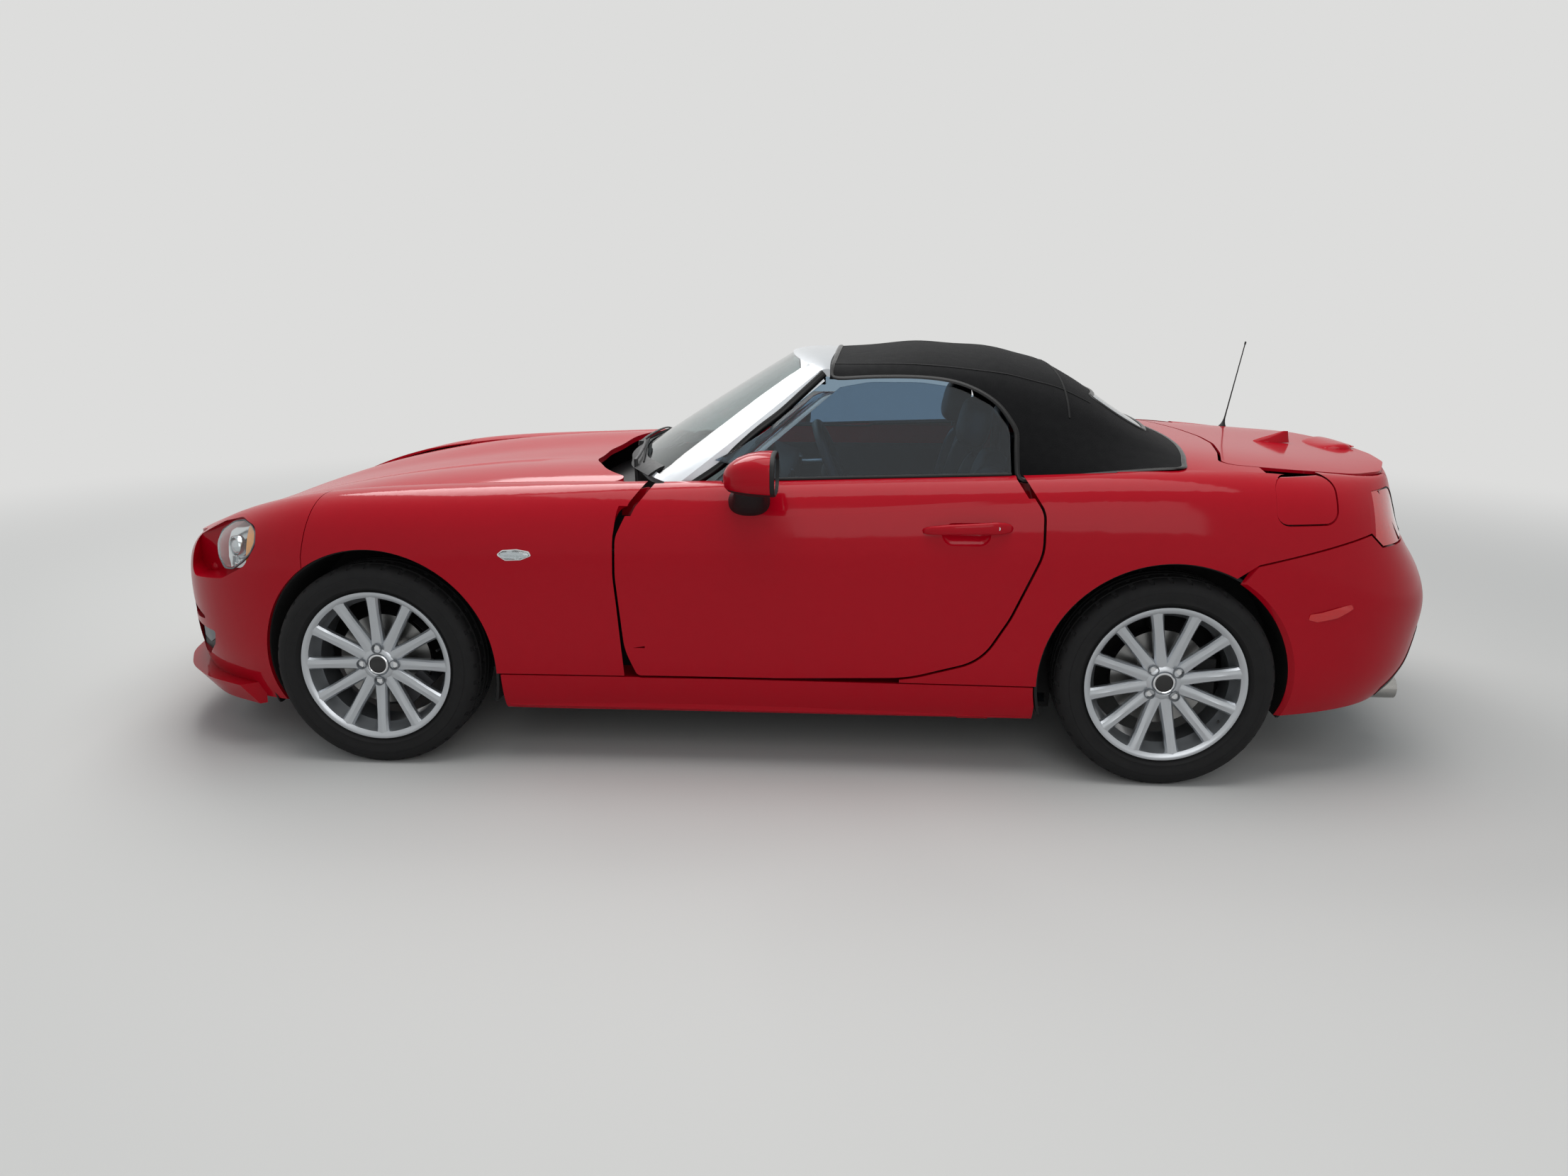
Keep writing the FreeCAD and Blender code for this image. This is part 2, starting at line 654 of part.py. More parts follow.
hood_under = HOOD_SURFACE.copy()
hood_under.translate(V(0, 0, -LID_SKIN - 8))
hood_under = hood_under.extrude(V(0, 0, 100))

# Headlamp pocket: a recess in the bumper's corner, seen from the side, with flat walls and floor
LAMP_RECESS = [
    (-1840, 520, 30), (-1660, 545, 60), (-1560, 594, 60), (-1512, 660, 40),
    (-1520, 712, 30), (-1600, 726, 60), (-1690, 702, 80), (-1836, 636, 30),
]
LAMP_LENS = [
    (-1694, 602, 30), (-1640, 572, 40), (-1570, 603, 50), (-1522, 664, 30),
    (-1530, 704, 24), (-1600, 714, 50), (-1662, 694, 50), (-1698, 656, 40),
]
POCKET_WALL = 8.0
LENS_SINK = V(5, 6, -3)
FLOOR_FRONT = (-1900.0, -500.0)
FLOOR_REAR = (-1450.0, -715.0)
nose_mass = thick(SIDE, box(-1900, -1450, -1000, -400, 480, 790), V(60, 120, -100))


def pocket_depth(beyond):
    """Everything from far outside to the pocket's floor, and a way beyond it."""
    return plan_prism([
        (FLOOR_FRONT[0], -1000, 0), (FLOOR_REAR[0], -1000, 0),
        (FLOOR_REAR[0], FLOOR_REAR[1] + beyond, 0), (FLOOR_FRONT[0], FLOOR_FRONT[1] + beyond, 0),
    ], 480, 800)


pocket = side_prism(grown(LAMP_RECESS, POCKET_WALL), -1000, -400).common(pocket_depth(POCKET_WALL))
lamp_room = side_prism(grown(LAMP_RECESS, POCKET_WALL + SEAT_GAP), -1000, -400)
lamp_room = lamp_room.common(pocket_depth(POCKET_WALL + SEAT_GAP))
pocket_void = side_prism(LAMP_RECESS, -1000, -400).common(pocket_depth(0))
front_skin = front_skin.fuse(nose_mass.common(pocket)).cut(pocket_void)

lens_mass = nose_mass.copy()
lens_mass.translate(LENS_SINK)
lens = side_prism(LAMP_LENS, -1000, -400).common(pocket_depth(-SEAT_GAP))
save("headlamps", pair(lens_mass.common(lens)))

# Two air inlets in each corner of the bumper
INLETS = [
    [(-1905, 432, 8), (-1758, 394, 6), (-1905, 372, 8)],
    [(-1890, 362, 10), (-1728, 362, 8), (-1742, 316, 10), (-1800, 262, 10), (-1890, 262, 10)],
]
for inlet in INLETS:
    front_skin = front_skin.cut(side_prism(inlet, -1000, -450))

GRILLE_OUTLINE = [
    (-420, 500, 30),
    (-330, 545, 30),
    (330, 545, 30),
    (420, 500, 30),
    (330, 300, 40),
    (-330, 300, 40),
]
grille_hole = end_prism(GRILLE_OUTLINE, -2100, -1700)
front_skin = front_skin.cut(grille_hole)
front_skin = sorted(front_skin.Solids, key=lambda s: -s.Volume)[0]

# Chin under the nose: a shelf that leans back under the bumper, outer line x, y
CHIN_LINE = [(-2026, 0), (-2012, -250), (-1964, -440), (-1880, -592), (-1762, -706), (-1620, -778)]
CHIN_TOP = 216.0
CHIN_BOTTOM = 146.0
CHIN_LEAN = 52.0
CHIN_DEPTH = 74.0


def chin_wire(inset, height):
    outer = [(x + inset * 0.8, y + inset * 0.6 if y else 0, 400) for x, y in CHIN_LINE]
    inner = [(x + CHIN_DEPTH * 0.8, y + CHIN_DEPTH * 0.6 if y else 0, 400) for x, y in CHIN_LINE]
    corners = outer + inner[::-1]
    for index in (0, len(outer) - 1, len(outer), len(corners) - 1):
        corners[index] = (corners[index][0], corners[index][1], 0)
    return rounded_face(corners, lambda a, b: V(a, b, height)).OuterWire


chin = Part.makeLoft([chin_wire(0, CHIN_TOP), chin_wire(CHIN_LEAN, CHIN_BOTTOM)], True, True)
front_skin = front_skin.fuse(chin)
front_bumper = front_skin.fuse(mirrored(front_skin))
save("front_bumper", [front_bumper])

# Grille: a flat plate with five rows of slots behind the mouth
SLOT_ROWS = 5
SLOT_PITCH = 42.0
SLOT_HEIGHT = 24.0
grille = end_prism(grown(GRILLE_OUTLINE, 6), -1960, -1940)
for row in range(SLOT_ROWS):
    z = 318 + row * SLOT_PITCH
    half = 318 + 14 * row
    for side in (-1, 1):
        grille = grille.cut(box(-1980, -1900, min(side * 12, side * half), max(side * 12, side * half),
                                z, z + SLOT_HEIGHT))
grille = grille.cut(FRONT_OUT).cut(mirrored(FRONT_OUT))
save("grille", [sorted(grille.Solids, key=lambda s: -s.Volume)[0]])

rear_face = SIDE.common(side_prism(REAR_KEEP, -1000, 50)).cut(rear_arch)
rear_half = rear_face.Faces[0].extrude(BUMPER_IN_REAR).common(box(1200, 2200, -1000, 0, 100, 900))
rear_bumper = rear_half.fuse(mirrored(rear_half))
save("rear_bumper", [rear_bumper])

# Windscreen
SCREEN_ROWS = [
    [V(-262, -706, 842), V(-352, -590, 850), V(-440, -400, 858), V(-486, -200, 862), V(-500, 0, 863)],
    [V(-128, -676, 945), V(-205, -568, 955), V(-278, -385, 966), V(-318, -190, 972), V(-330, 0, 974)],
    [V(4, -632, 1050), V(-56, -530, 1062), V(-116, -360, 1074), V(-148, -180, 1080), V(-158, 0, 1082)],
    [V(150, -578, 1166), V(114, -478, 1182), V(74, -330, 1194), V(50, -165, 1201), V(42, 0, 1203)],
]
HEADER_ROWS = [
    SCREEN_ROWS[3],
    [V(160, -574, 1170), V(138, -474, 1188), V(104, -328, 1202), V(84, -164, 1209), V(78, 0, 1211)],
    [V(172, -570, 1172), V(160, -471, 1190), V(146, -326, 1204), V(136, -163, 1211), V(132, 0, 1213)],
    [V(183, -566, 1171), V(182, -468, 1189), V(188, -324, 1203), V(194, -162, 1209), V(196, 0, 1211)],
]


def full_width(rows):
    result = []
    for row in rows:
        right = [V(p.x, -p.y, p.z) for p in row[:-1]]
        result.append(row + right[::-1])
    return result


SCREEN = surface_face(full_width(SCREEN_ROWS))
SCREEN_IN = V(0.55, 0, -0.83)
FRAME_DEPTH = 34.0
frame_solid = SCREEN.extrude(SCREEN_IN * FRAME_DEPTH)
SCREEN_OPENING = [
    (-300, -655, 50), (95, -510, 50), (70, -200, 300), (70, 200, 300), (95, 510, 50), (-300, 655, 50),
    (-420, 430, 200), (-470, 150, 300), (-470, -150, 300), (-420, -430, 200),
]
opening = plan_prism(SCREEN_OPENING, 700, 1400)
windshield_frame = frame_solid.cut(opening)
header = surface_face(full_width(HEADER_ROWS)).extrude(V(0, 0, -22))
windshield_frame = windshield_frame.fuse(header)
glass_room = SCREEN.common(opening).Faces[0]
glass_room.translate(SCREEN_IN * (4.0 - SEAT_GAP))
windshield_frame = windshield_frame.cut(glass_room.extrude(SCREEN_IN * (6.0 + 2 * SEAT_GAP)))
windshield = SCREEN.common(opening).Faces[0]
windshield.translate(SCREEN_IN * 4.0)
windshield = windshield.extrude(SCREEN_IN * 6.0)
windshield = windshield.common(plan_prism(grown(SCREEN_OPENING, -SEAT_GAP), 700, 1400))
save("windshield_frame", [windshield_frame])
save("windshield", [windshield])

# Cowl under the wipers
FIREWALL_TOP = 752.0
cowl = plan_prism(both_halves([
    (-650, 0, 0), (-630, 340, 300), (-560, 600, 60), (-415, 655, 30), (-300, 690, 10), (-260, 690, 10),
    (-330, 590, 100),
    (-424, 400, 200), (-476, 0, 0),
]), FIREWALL_TOP + SEAT_GAP, FIREWALL_TOP + 12)
scuttle = plan_prism(both_halves([
    (-488, 0, 0), (-474, 205, 300), (-430, 400, 300), (-345, 580, 100), (-262, 690, 5), (-244, 690, 5),
    (-326, 578, 100), (-410, 400, 300), (-454, 205, 300), (-466, 0, 0),
]), FIREWALL_TOP + SEAT_GAP, 960)
above_frame = SCREEN.copy()
above_frame.translate(SCREEN_IN * (FRAME_DEPTH + SEAT_GAP))
above_frame = above_frame.extrude(SCREEN_IN * -300)
scuttle = sorted(scuttle.cut(above_frame).Solids, key=lambda s: -s.Volume)[0]
save("cowl", [cowl.fuse(scuttle)])

# Soft top
ROOF_ROWS = [
    [V(200, 0, 1213), V(198, -200, 1208), V(192, -380, 1192), V(184, -520, 1165), V(176, -612, 1080),
     V(166, -694, 920), V(166, -722, 840)],
    [V(430, 0, 1233), V(430, -210, 1227), V(430, -400, 1207), V(430, -545, 1168), V(430, -632, 1085),
     V(430, -696, 950), V(430, -722, 850)],
    [V(640, 0, 1226), V(640, -210, 1219), V(642, -400, 1194), V(645, -545, 1148), V(648, -632, 1062),
     V(650, -696, 940), V(650, -724, 862)],
    [V(820, 0, 1194), V(820, -210, 1186), V(824, -395, 1156), V(826, -528, 1102), V(826, -618, 1020),
     V(824, -692, 930), V(822, -726, 876)],
    [V(950, 0, 1132), V(952, -205, 1124), V(956, -390, 1096), V(958, -526, 1048), V(954, -620, 980),
     V(944, -694, 922), V(936, -728, 890)],
    [V(1070, 0, 1050), V(1072, -205, 1044), V(1074, -392, 1024), V(1072, -535, 990), V(1062, -632, 948),
     V(1046, -700, 916), V(1032, -730, 900)],
    [V(1200, 0, 972), V(1198, -205, 969), V(1192, -400, 960), V(1180, -550, 946), V(1160, -645, 930),
     V(1136, -706, 916), V(1120, -732, 908)],
    [V(1312, 0, 916), V(1306, -205, 916), V(1286, -410, 916), V(1254, -565, 915), V(1222, -655, 913),
     V(1190, -712, 911), V(1170, -735, 910)],
]
ROOF = surface_face(ROOF_ROWS)
ROOF_SKIN = 12.0
roof = ROOF.extrude(V(-ROOF_SKIN * 0.3, ROOF_SKIN * 0.5, -ROOF_SKIN * 0.8))
roof = roof.common(box(100, 1400, -800, 0, 800, 1300))
side_window_cut = side_prism([
    (100, 800, 0), (100, 1146, 0), (214, 1142, 14), (300, 1150, 200), (450, 1150, 400), (568, 1134, 200),
    (672, 1080, 80), (720, 1016, 60), (724, 800, 0),
], -900, -300)
deck_over = DECK_SURFACE.copy()
deck_over.translate(V(0, 0, SEAT_GAP))
deck_over = deck_over.extrude(V(0, 0, -120))
side_over = SIDE.common(box(600, 1500, -1000, -500, 600, 960)).Faces[0]
side_over.translate(V(0, -SEAT_GAP, SEAT_GAP))
side_over = side_over.extrude(V(0, 120, -120))
roof = roof.cut(side_window_cut).cut(box(100, 1400, -900, 0, 700, 874)).cut(deck_over).cut(side_over)
roof = sorted(roof.Solids, key=lambda s: -s.Volume)[0]
soft_top = roof.fuse(mirrored(roof))
REAR_WINDOW = [(-440, 985, 40), (-400, 1085, 40), (400, 1085, 40), (440, 985, 40)]
rear_window_block = end_prism(REAR_WINDOW, 900, 1400)
soft_top = soft_top.cut(rear_window_block)
save("soft_top", [soft_top])
rear_glass_left = thick(ROOF, end_prism(REAR_WINDOW, 900, 1400).common(box(900, 1400, -600, 0, 900, 1200)),
                        V(-2.5, 0, -4.0)).common(box(800, 1500, -800, 0, 800, 1300))
rear_window = rear_glass_left.fuse(mirrored(rear_glass_left))
rear_window = rear_window.common(end_prism(grown(REAR_WINDOW, -SEAT_GAP), 900, 1400))
save("rear_window", [rear_window])

# Wheels
WHEEL_PLACES = {
    "front_left": (FRONT_AXLE, -TRACK_FRONT / 2, -1),
    "front_right": (FRONT_AXLE, TRACK_FRONT / 2, 1),
    "rear_left": (REAR_AXLE, -TRACK_REAR / 2, -1),
    "rear_right": (REAR_AXLE, TRACK_REAR / 2, 1),
}


def turned(profile):
    """Solid of revolution about Y from (radius, y) rows; y grows inboard."""
    points = [V(radius, offset, 0) for radius, offset in profile]
    face = Part.Face(Part.makePolygon(points + [points[0]]))
    return face.revolve(V(0, 0, 0), V(0, 1, 0), 360)


def tyre_solid():
    half = TYRE_WIDTH / 2
    bead = RIM_WIDTH / 2 - 6
    profile = [
        (RIM_RADIUS + 3 + SEAT_GAP, -bead),
        (RIM_LIP_RADIUS + 0.8, -bead - 0.7),
        (RIM_RADIUS + 18, -bead - 6),
        (250, -half + 3),
        (272, -half),
        (292, -half + 5),
        (303, -half + 16),
        (TYRE_RADIUS, -half + 34),
        (TYRE_RADIUS, half - 34),
        (303, half - 16),
        (292, half - 5),
        (272, half),
        (250, half - 3),
        (RIM_RADIUS + 18, bead + 6),
        (RIM_LIP_RADIUS + 0.8, bead + 0.7),
        (RIM_RADIUS + 3 + SEAT_GAP, bead),
    ]
    return turned(profile)


def wheel_solid():
    lip = RIM_WIDTH / 2 + 5
    rim = turned([
        (RIM_LIP_RADIUS, -lip),
        (RIM_LIP_RADIUS, -lip + RIM_LIP_WIDTH - 1),
        (RIM_RADIUS + 3, -lip + RIM_LIP_WIDTH),
        (RIM_RADIUS + 3, -52),
        (198, -38),
        (198, 44),
        (RIM_RADIUS + 3, 60),
        (RIM_RADIUS + 3, lip - RIM_LIP_WIDTH),
        (RIM_LIP_RADIUS, lip - RIM_LIP_WIDTH + 1),
        (RIM_LIP_RADIUS, lip),
        (RIM_RADIUS, lip),
        (RIM_RADIUS - 4, 60),
        (190, 44),
        (190, -38),
        (RIM_RADIUS - 8, -56),
        (RIM_RADIUS - 4, -lip),
    ])
    hub = turned([
        (HUB_BORE_RADIUS, -72),
        (HUB_RADIUS - 8, -72),
        (HUB_RADIUS, -66),
        (HUB_RADIUS, -MOUNT_FACE),
        (HUB_BORE_RADIUS, -MOUNT_FACE),
    ])
    spokes = []
    for index in range(SPOKE_COUNT):
        inner = HUB_RADIUS - 8
        outer = RIM_RADIUS - 5
        face = Part.Face(Part.makePolygon([
            V(inner, -71, 0),
            V(outer, -86, 0),
            V(outer, -60, 0),
            V(inner, -MOUNT_FACE, 0),
            V(inner, -71, 0),
        ]))
        blade = face.extrude(V(0, 0, SPOKE_WIDTH_HUB))
        blade.translate(V(0, 0, -SPOKE_WIDTH_HUB / 2))
        taper = plan_wedge(inner, outer)
        blade = blade.common(taper)
        blade.rotate(V(0, 0, 0), V(0, 1, 0), 360.0 / SPOKE_COUNT * index + 15)
        spokes.append(blade)
    wheel = rim.fuse(hub)
    for blade in spokes:
        wheel = wheel.fuse(blade)
    for index in range(LUG_COUNT):
        angle = math.radians(360.0 / LUG_COUNT * index + 45)
        x = LUG_CIRCLE / 2 * math.cos(angle)
        z = LUG_CIRCLE / 2 * math.sin(angle)
        wheel = wheel.cut(rod_y(x, z, LUG_HOLE_RADIUS, -100, 0))
        wheel = wheel.cut(rod_y(x, z, 13.0, -100, -57))
    return wheel


def plan_wedge(inner, outer):
    a = SPOKE_WIDTH_HUB / 2
    b = SPOKE_WIDTH_RIM / 2
    face = Part.Face(Part.makePolygon([
        V(inner, -100, -a), V(outer, -100, -b), V(outer, -100, b), V(inner, -100, a), V(inner, -100, -a),
    ]))
    return face.extrude(V(0, 80, 0))


def disc_solid(radius):
    disc = turned([
        (34, -MOUNT_FACE + SEAT_GAP),
        (76, -MOUNT_FACE + SEAT_GAP),
        (76, -14),
        (radius, -14),
        (radius, -14 + DISC_THICKNESS),
        (68, -14 + DISC_THICKNESS),
        (68, -MOUNT_FACE + 8),
        (34, -MOUNT_FACE + 8),
    ])
    stub = turned([
        (HUB_BORE_RADIUS - 0.3, -66), (HUB_BORE_RADIUS - 0.3, -MOUNT_FACE + 4), (62, -MOUNT_FACE + 8),
        (62, -18), (14, -18), (14, -66),
    ])
    disc = disc.fuse(stub)
    for index in range(LUG_COUNT):
        angle = math.radians(360.0 / LUG_COUNT * index + 45)
        x = LUG_CIRCLE / 2 * math.cos(angle)
        z = LUG_CIRCLE / 2 * math.sin(angle)
        disc = disc.fuse(rod_y(x, z, LUG_HOLE_RADIUS - 1.0, -60, -MOUNT_FACE + 4))
        disc = disc.fuse(rod_y(x, z, 9.5, -72, -57))
    return disc


TYRE = tyre_solid()
WHEEL = wheel_solid()
DISC = disc_solid(DISC_RADIUS_FRONT)


# How far the wheels have rolled in the photographed stand, degrees
WHEEL_TURN = {"front": 45.0, "rear": 5.0}


def placed(shape, corner):
    x, y, side = WHEEL_PLACES[corner]
    copy = shape.copy()
    copy.rotate(V(0, 0, 0), V(0, 1, 0), WHEEL_TURN[corner.split("_")[0]])
    if side > 0:
        copy = mirrored(copy)
    copy.translate(V(x, y, AXLE_HEIGHT))
    return copy


for corner in WHEEL_PLACES:
    save("tyre_" + corner, [placed(TYRE, corner)])
    save("wheel_" + corner, [placed(WHEEL, corner)])
    save("brake_disc_" + corner, [placed(DISC, corner)])


# Steering knuckle with its caliper; y grows inboard from the wheel centre
SPINDLE_RADIUS = 13.7
KINGPIN_INSET = 47.0


def knuckle_solid():
    carrier = rod_y(0, 0, 50, 14, 60)
    carrier = carrier.fuse(rod_y(0, 0, SPINDLE_RADIUS, -60, 20))
    carrier = carrier.fuse(box(-24, 24, 30, 64, -120, 130))
    carrier = carrier.cut(Part.makeCylinder(8.3, 32, V(0, KINGPIN_INSET, -121)))
    carrier = carrier.fuse(box(0, 150, 36, 56, -22, 14))
    caliper = box(96, 152, -34, 40, -62, 62)
    caliper = caliper.cut(rod_y(0, 0, DISC_RADIUS_FRONT + 6, -20, 12))
    caliper = caliper.common(rod_y(0, 0, 172, -60, 80))
    return carrier.fuse(caliper)


KNUCKLE = knuckle_solid()
save("knuckle_left", [placed(KNUCKLE, "front_left")])
save("knuckle_right", [placed(KNUCKLE, "front_right")])

# Underbody
LINER_INNER = 357.0
LINER_OUTER = 365.0
FLOOR_LOW = 150.0
FLOOR_TOP = 166.0
ENGINE = box(-1420, -660, -210, 210, 190 + SEAT_GAP, 690)
save("engine_block", [ENGINE])


def wheel_house(x, wall_y):
    """Left wheel house, closed inboard and open outboard and below."""
    house = rod_y(x, ARCH_Z, LINER_OUTER, -870, wall_y)
    house = house.cut(rod_y(x, ARCH_Z, LINER_INNER, -871, wall_y - 5))
    house = house.cut(box(x - 400, x + 400, -871, wall_y + 1, -100, 196))
    return house


def wheel_room(x, wall_y):
    room = rod_y(x, ARCH_Z, LINER_INNER, -900, wall_y - 5)
    return room.fuse(box(x - LINER_INNER, x + LINER_INNER, -900, wall_y - 5, 0, 196))


PIPE_ROOM = 40.0
FRONT_WALL = -474.0
REAR_WALL = -606.0
side_parts = [
    box(-640, 780, -700, 0, FLOOR_LOW, FLOOR_TOP),
    box(780, 870, -606, 0, FLOOR_LOW, FLOOR_TOP),
    box(-616, 780, -700, -690, FLOOR_TOP, 284),
    box(-640, -616, -700, 0, FLOOR_TOP, FIREWALL_TOP),
    box(-640, -470, -790, -700, 284 + SEAT_GAP, 840),
    box(-640, -470, -700, -690, FLOOR_TOP, 840),
    box(-640, -200, -700, -692, FLOOR_TOP, FIREWALL_TOP - 2),
    box(806, 850, -800, -600, 296, 860),
    box(856, 870, -606, 0, FLOOR_TOP, 850),
    box(856, 1740, -606, -596, 262, 860),
    box(1740, 1900, -606, -596, 262, 680),
    box(856, 1900, -606, 0, 262, 274),
    box(1880, 1900, -540, 0, 262, 680),
    box(1880, 2100, -440, -380, 340, 420),
    box(1180, 1236, -700, 0, 850, 930),
    box(-1340, -425, -700, -664, 655, 860),
    box(-1720, -1340, -640, -600, 560, 600),
    box(-1930, -640, -478, -432, 330, 410),
    box(-2100, -1930, -440, -400, 350, 400),
    box(-1960, -1930, -440, 0, 350, 400),
    box(-1790, -1760, -560, 0, 560, 600),
    box(-1790, -1760, -400, 0, 230, 600),
    box(-1790, -1760, -440, -400, 330, 600),
    box(-1250, -1060, -478, 0, 168, 190),
    box(-1250, -1060, -478, -440, 168, 340),
]
shell = side_parts[0]
for part in side_parts[1:]:
    shell = shell.fuse(part)
shell = shell.cut(wheel_room(FRONT_ARCH_X, FRONT_WALL)).cut(wheel_room(REAR_ARCH_X, REAR_WALL))
shell = shell.fuse(wheel_house(FRONT_ARCH_X, FRONT_WALL)).fuse(wheel_house(REAR_ARCH_X, REAR_WALL))
shell = shell.cut(box(FRONT_AXLE - 45, FRONT_AXLE + 45, -500, -460, 140, 240))
shell = shell.cut(SIDE_OUT).cut(FRONT_OUT).cut(REAR_OUT)
deck_under = DECK_SURFACE.copy()
deck_under.translate(V(0, 0, -SKIN - SEAT_GAP))
shell = shell.cut(deck_under.extrude(V(0, 0, 100)))
shell = shell.cut(hood_under).cut(lamp_room)
shell = shell.cut(box(850, 880, -PIPE_ROOM, 1, 140, 240))
shell = shell.cut(door_keep_out.common(box(-500, 900, -1000, -722, 200, 1000)))
shell = sorted(shell.Solids, key=lambda s: -s.Volume)[0]

# Hinge pins and brackets
for height in DOOR_HINGE_HEIGHTS:
    bracket = plan_prism([
        (-395.5, -842.5, 11), (-372.5, -842.5, 11), (-372.5, -816, 12), (-400, -760, 20),
        (-480, -720, 0), (-480, -760, 0), (-425, -772, 20),
    ], height - 5, height + 5)
    bracket = bracket.cut(Part.makeCylinder(HINGE_BORE, 40, V(DOOR_HINGE[0], DOOR_HINGE[1], height - 20)))
    shell = shell.fuse(bracket)
shell = shell.fuse(rod_y(HOOD_HINGE[0], HOOD_HINGE[1], HINGE_PIN, -668, -628))
shell = shell.fuse(rod_y(LID_HINGE[0], LID_HINGE[1], HINGE_PIN, -584, -548))
shell = shell.fuse(box(1220, 1275, -590, -572, 866, 890))
tunnel = box(-640, 870, -130, 0, FLOOR_LOW, 380).cut(box(-700, 900, -116, 1, 100, 366))
shell = shell.cut(box(-700, 855, -116, 1, 100, 200)).fuse(tunnel)
shell = shell.common(box(-2200, 2200, -1000, 0, 0, 1300))

# Four welded sections that meet on cross planes: node, first x, last x, lowest z, highest z
POST_FOOT = 284.0
SECTIONS = [
    ("front_structure", -2200.0, -640.0, 0.0, 1300.0),
    ("firewall", -640.0, -200.0, POST_FOOT, 1300.0),
    ("rear_structure", 870.0, 2200.0, 0.0, 1300.0),
]
rest_of_shell = shell
for node, x0, x1, z0, z1 in SECTIONS:
    section = box(x0, x1, -1000, 0, z0, z1)
    part = shell.common(section)
    save(node, [part.fuse(mirrored(part))])
    rest_of_shell = rest_of_shell.cut(section)
underbody = rest_of_shell.fuse(mirrored(rest_of_shell))
save("underbody", [underbody])

# Exhaust: pipe through the tunnel, silencer across the tail, two tips under the bumper
PIPE_RADIUS = 22.0
PIPE_HEIGHT = 176.0
SILENCER_RADIUS = 50.0
SILENCER = V(1730, 0, 206)
TIP_DROP = 22.0
TIP_Y = 440.0
TIP_RADIUS = 34.0
exhaust = rod(V(-630, 0, PIPE_HEIGHT), V(SILENCER.x, 0, PIPE_HEIGHT + 14), PIPE_RADIUS)
exhaust = exhaust.fuse(rod_y(SILENCER.x, SILENCER.z, SILENCER_RADIUS, -330, 330))
exhaust = exhaust.fuse(rod_y(SILENCER.x, SILENCER.z - TIP_DROP, PIPE_RADIUS, -TIP_Y, TIP_Y))
for y in (-TIP_Y, TIP_Y):
    elbow = V(SILENCER.x, y, SILENCER.z - TIP_DROP)
    exhaust = exhaust.fuse(Part.makeSphere(PIPE_RADIUS, elbow)).fuse(rod(elbow, elbow + V(110, 0, 0), PIPE_RADIUS))
    tip = rod(elbow + V(100, 0, 0), elbow + V(236, 0, 0), TIP_RADIUS)
    exhaust = exhaust.fuse(tip.cut(rod(elbow + V(112, 0, 0), elbow + V(240, 0, 0), TIP_RADIUS - 3)))
for y in (-240, 240):
    exhaust = exhaust.fuse(box(SILENCER.x - 12, SILENCER.x + 12, y - 8, y + 8, SILENCER.z + 40, 262 - SEAT_GAP))
save("exhaust", [exhaust])

dash_plan = plan_prism(both_halves([
    (-440, 0, 0), (-396, 360, 200), (-300, 570, 100), (-230, 640, 60), (-216, 691.7, 5), (40, 691.7, 20), (20, 0, 0),
]), 500, 900)
dash_side = side_prism([
    (-460, 640, 10), (-460, 772, 10), (-240, 800, 200), (-60, 806, 60), (26, 770, 30), (34, 690, 30),
    (-40, 600, 40), (-300, 600, 40),
], -700, 700)
dash = dash_plan.common(dash_side)
save("dashboard", [dash])

# Front suspension arms with ball pins, struts and the steering rack; rear arms with hubs
ball_y = -TRACK_FRONT / 2 + KINGPIN_INSET
arm = box(FRONT_AXLE - 25, FRONT_AXLE + 25, ball_y - 16, -430, 145, 167.7)
arm = arm.fuse(Part.makeCylinder(8.0, 50, V(FRONT_AXLE, ball_y, 167)))
arm = arm.fuse(rod(V(FRONT_AXLE, -585, 160), V(FRONT_AXLE, -560, 700), 24))
arm = arm.cut(wheel_house(FRONT_ARCH_X, FRONT_WALL))
arm = arm.common(rod_y(FRONT_ARCH_X, ARCH_Z, LINER_INNER - SEAT_GAP, -900, -300).fuse(
    box(FRONT_AXLE - 100, FRONT_AXLE + 100, -900, -300, 100, 200)))
save("front_suspension", pair(arm))
rear_arm = box(REAR_AXLE - 40, REAR_AXLE + 40, -700, REAR_WALL - 5 - SEAT_GAP, 225, 261.7)
rear_arm = rear_arm.fuse(rod(V(REAR_AXLE, -630, 250), V(REAR_AXLE, -630, 700), 14))
rear_arm = rear_arm.common(rod_y(REAR_ARCH_X, ARCH_Z, LINER_INNER - SEAT_GAP, -900, -300))
rear_hub = KNUCKLE.copy()
rear_hub.translate(V(REAR_AXLE, -TRACK_REAR / 2, AXLE_HEIGHT))
rear_arm = rear_arm.fuse(rear_hub)
save("rear_suspension", pair(rear_arm))

# Seats
seat = box(150, 620, -590, -180, FLOOR_TOP + SEAT_GAP, 420)
seat = seat.fuse(side_prism([(560, 300, 40), (690, 300, 40), (770, 760, 30), (640, 1080, 40),
                             (560, 1080, 40), (610, 760, 60)], -590, -180))
save("seats", pair(seat))

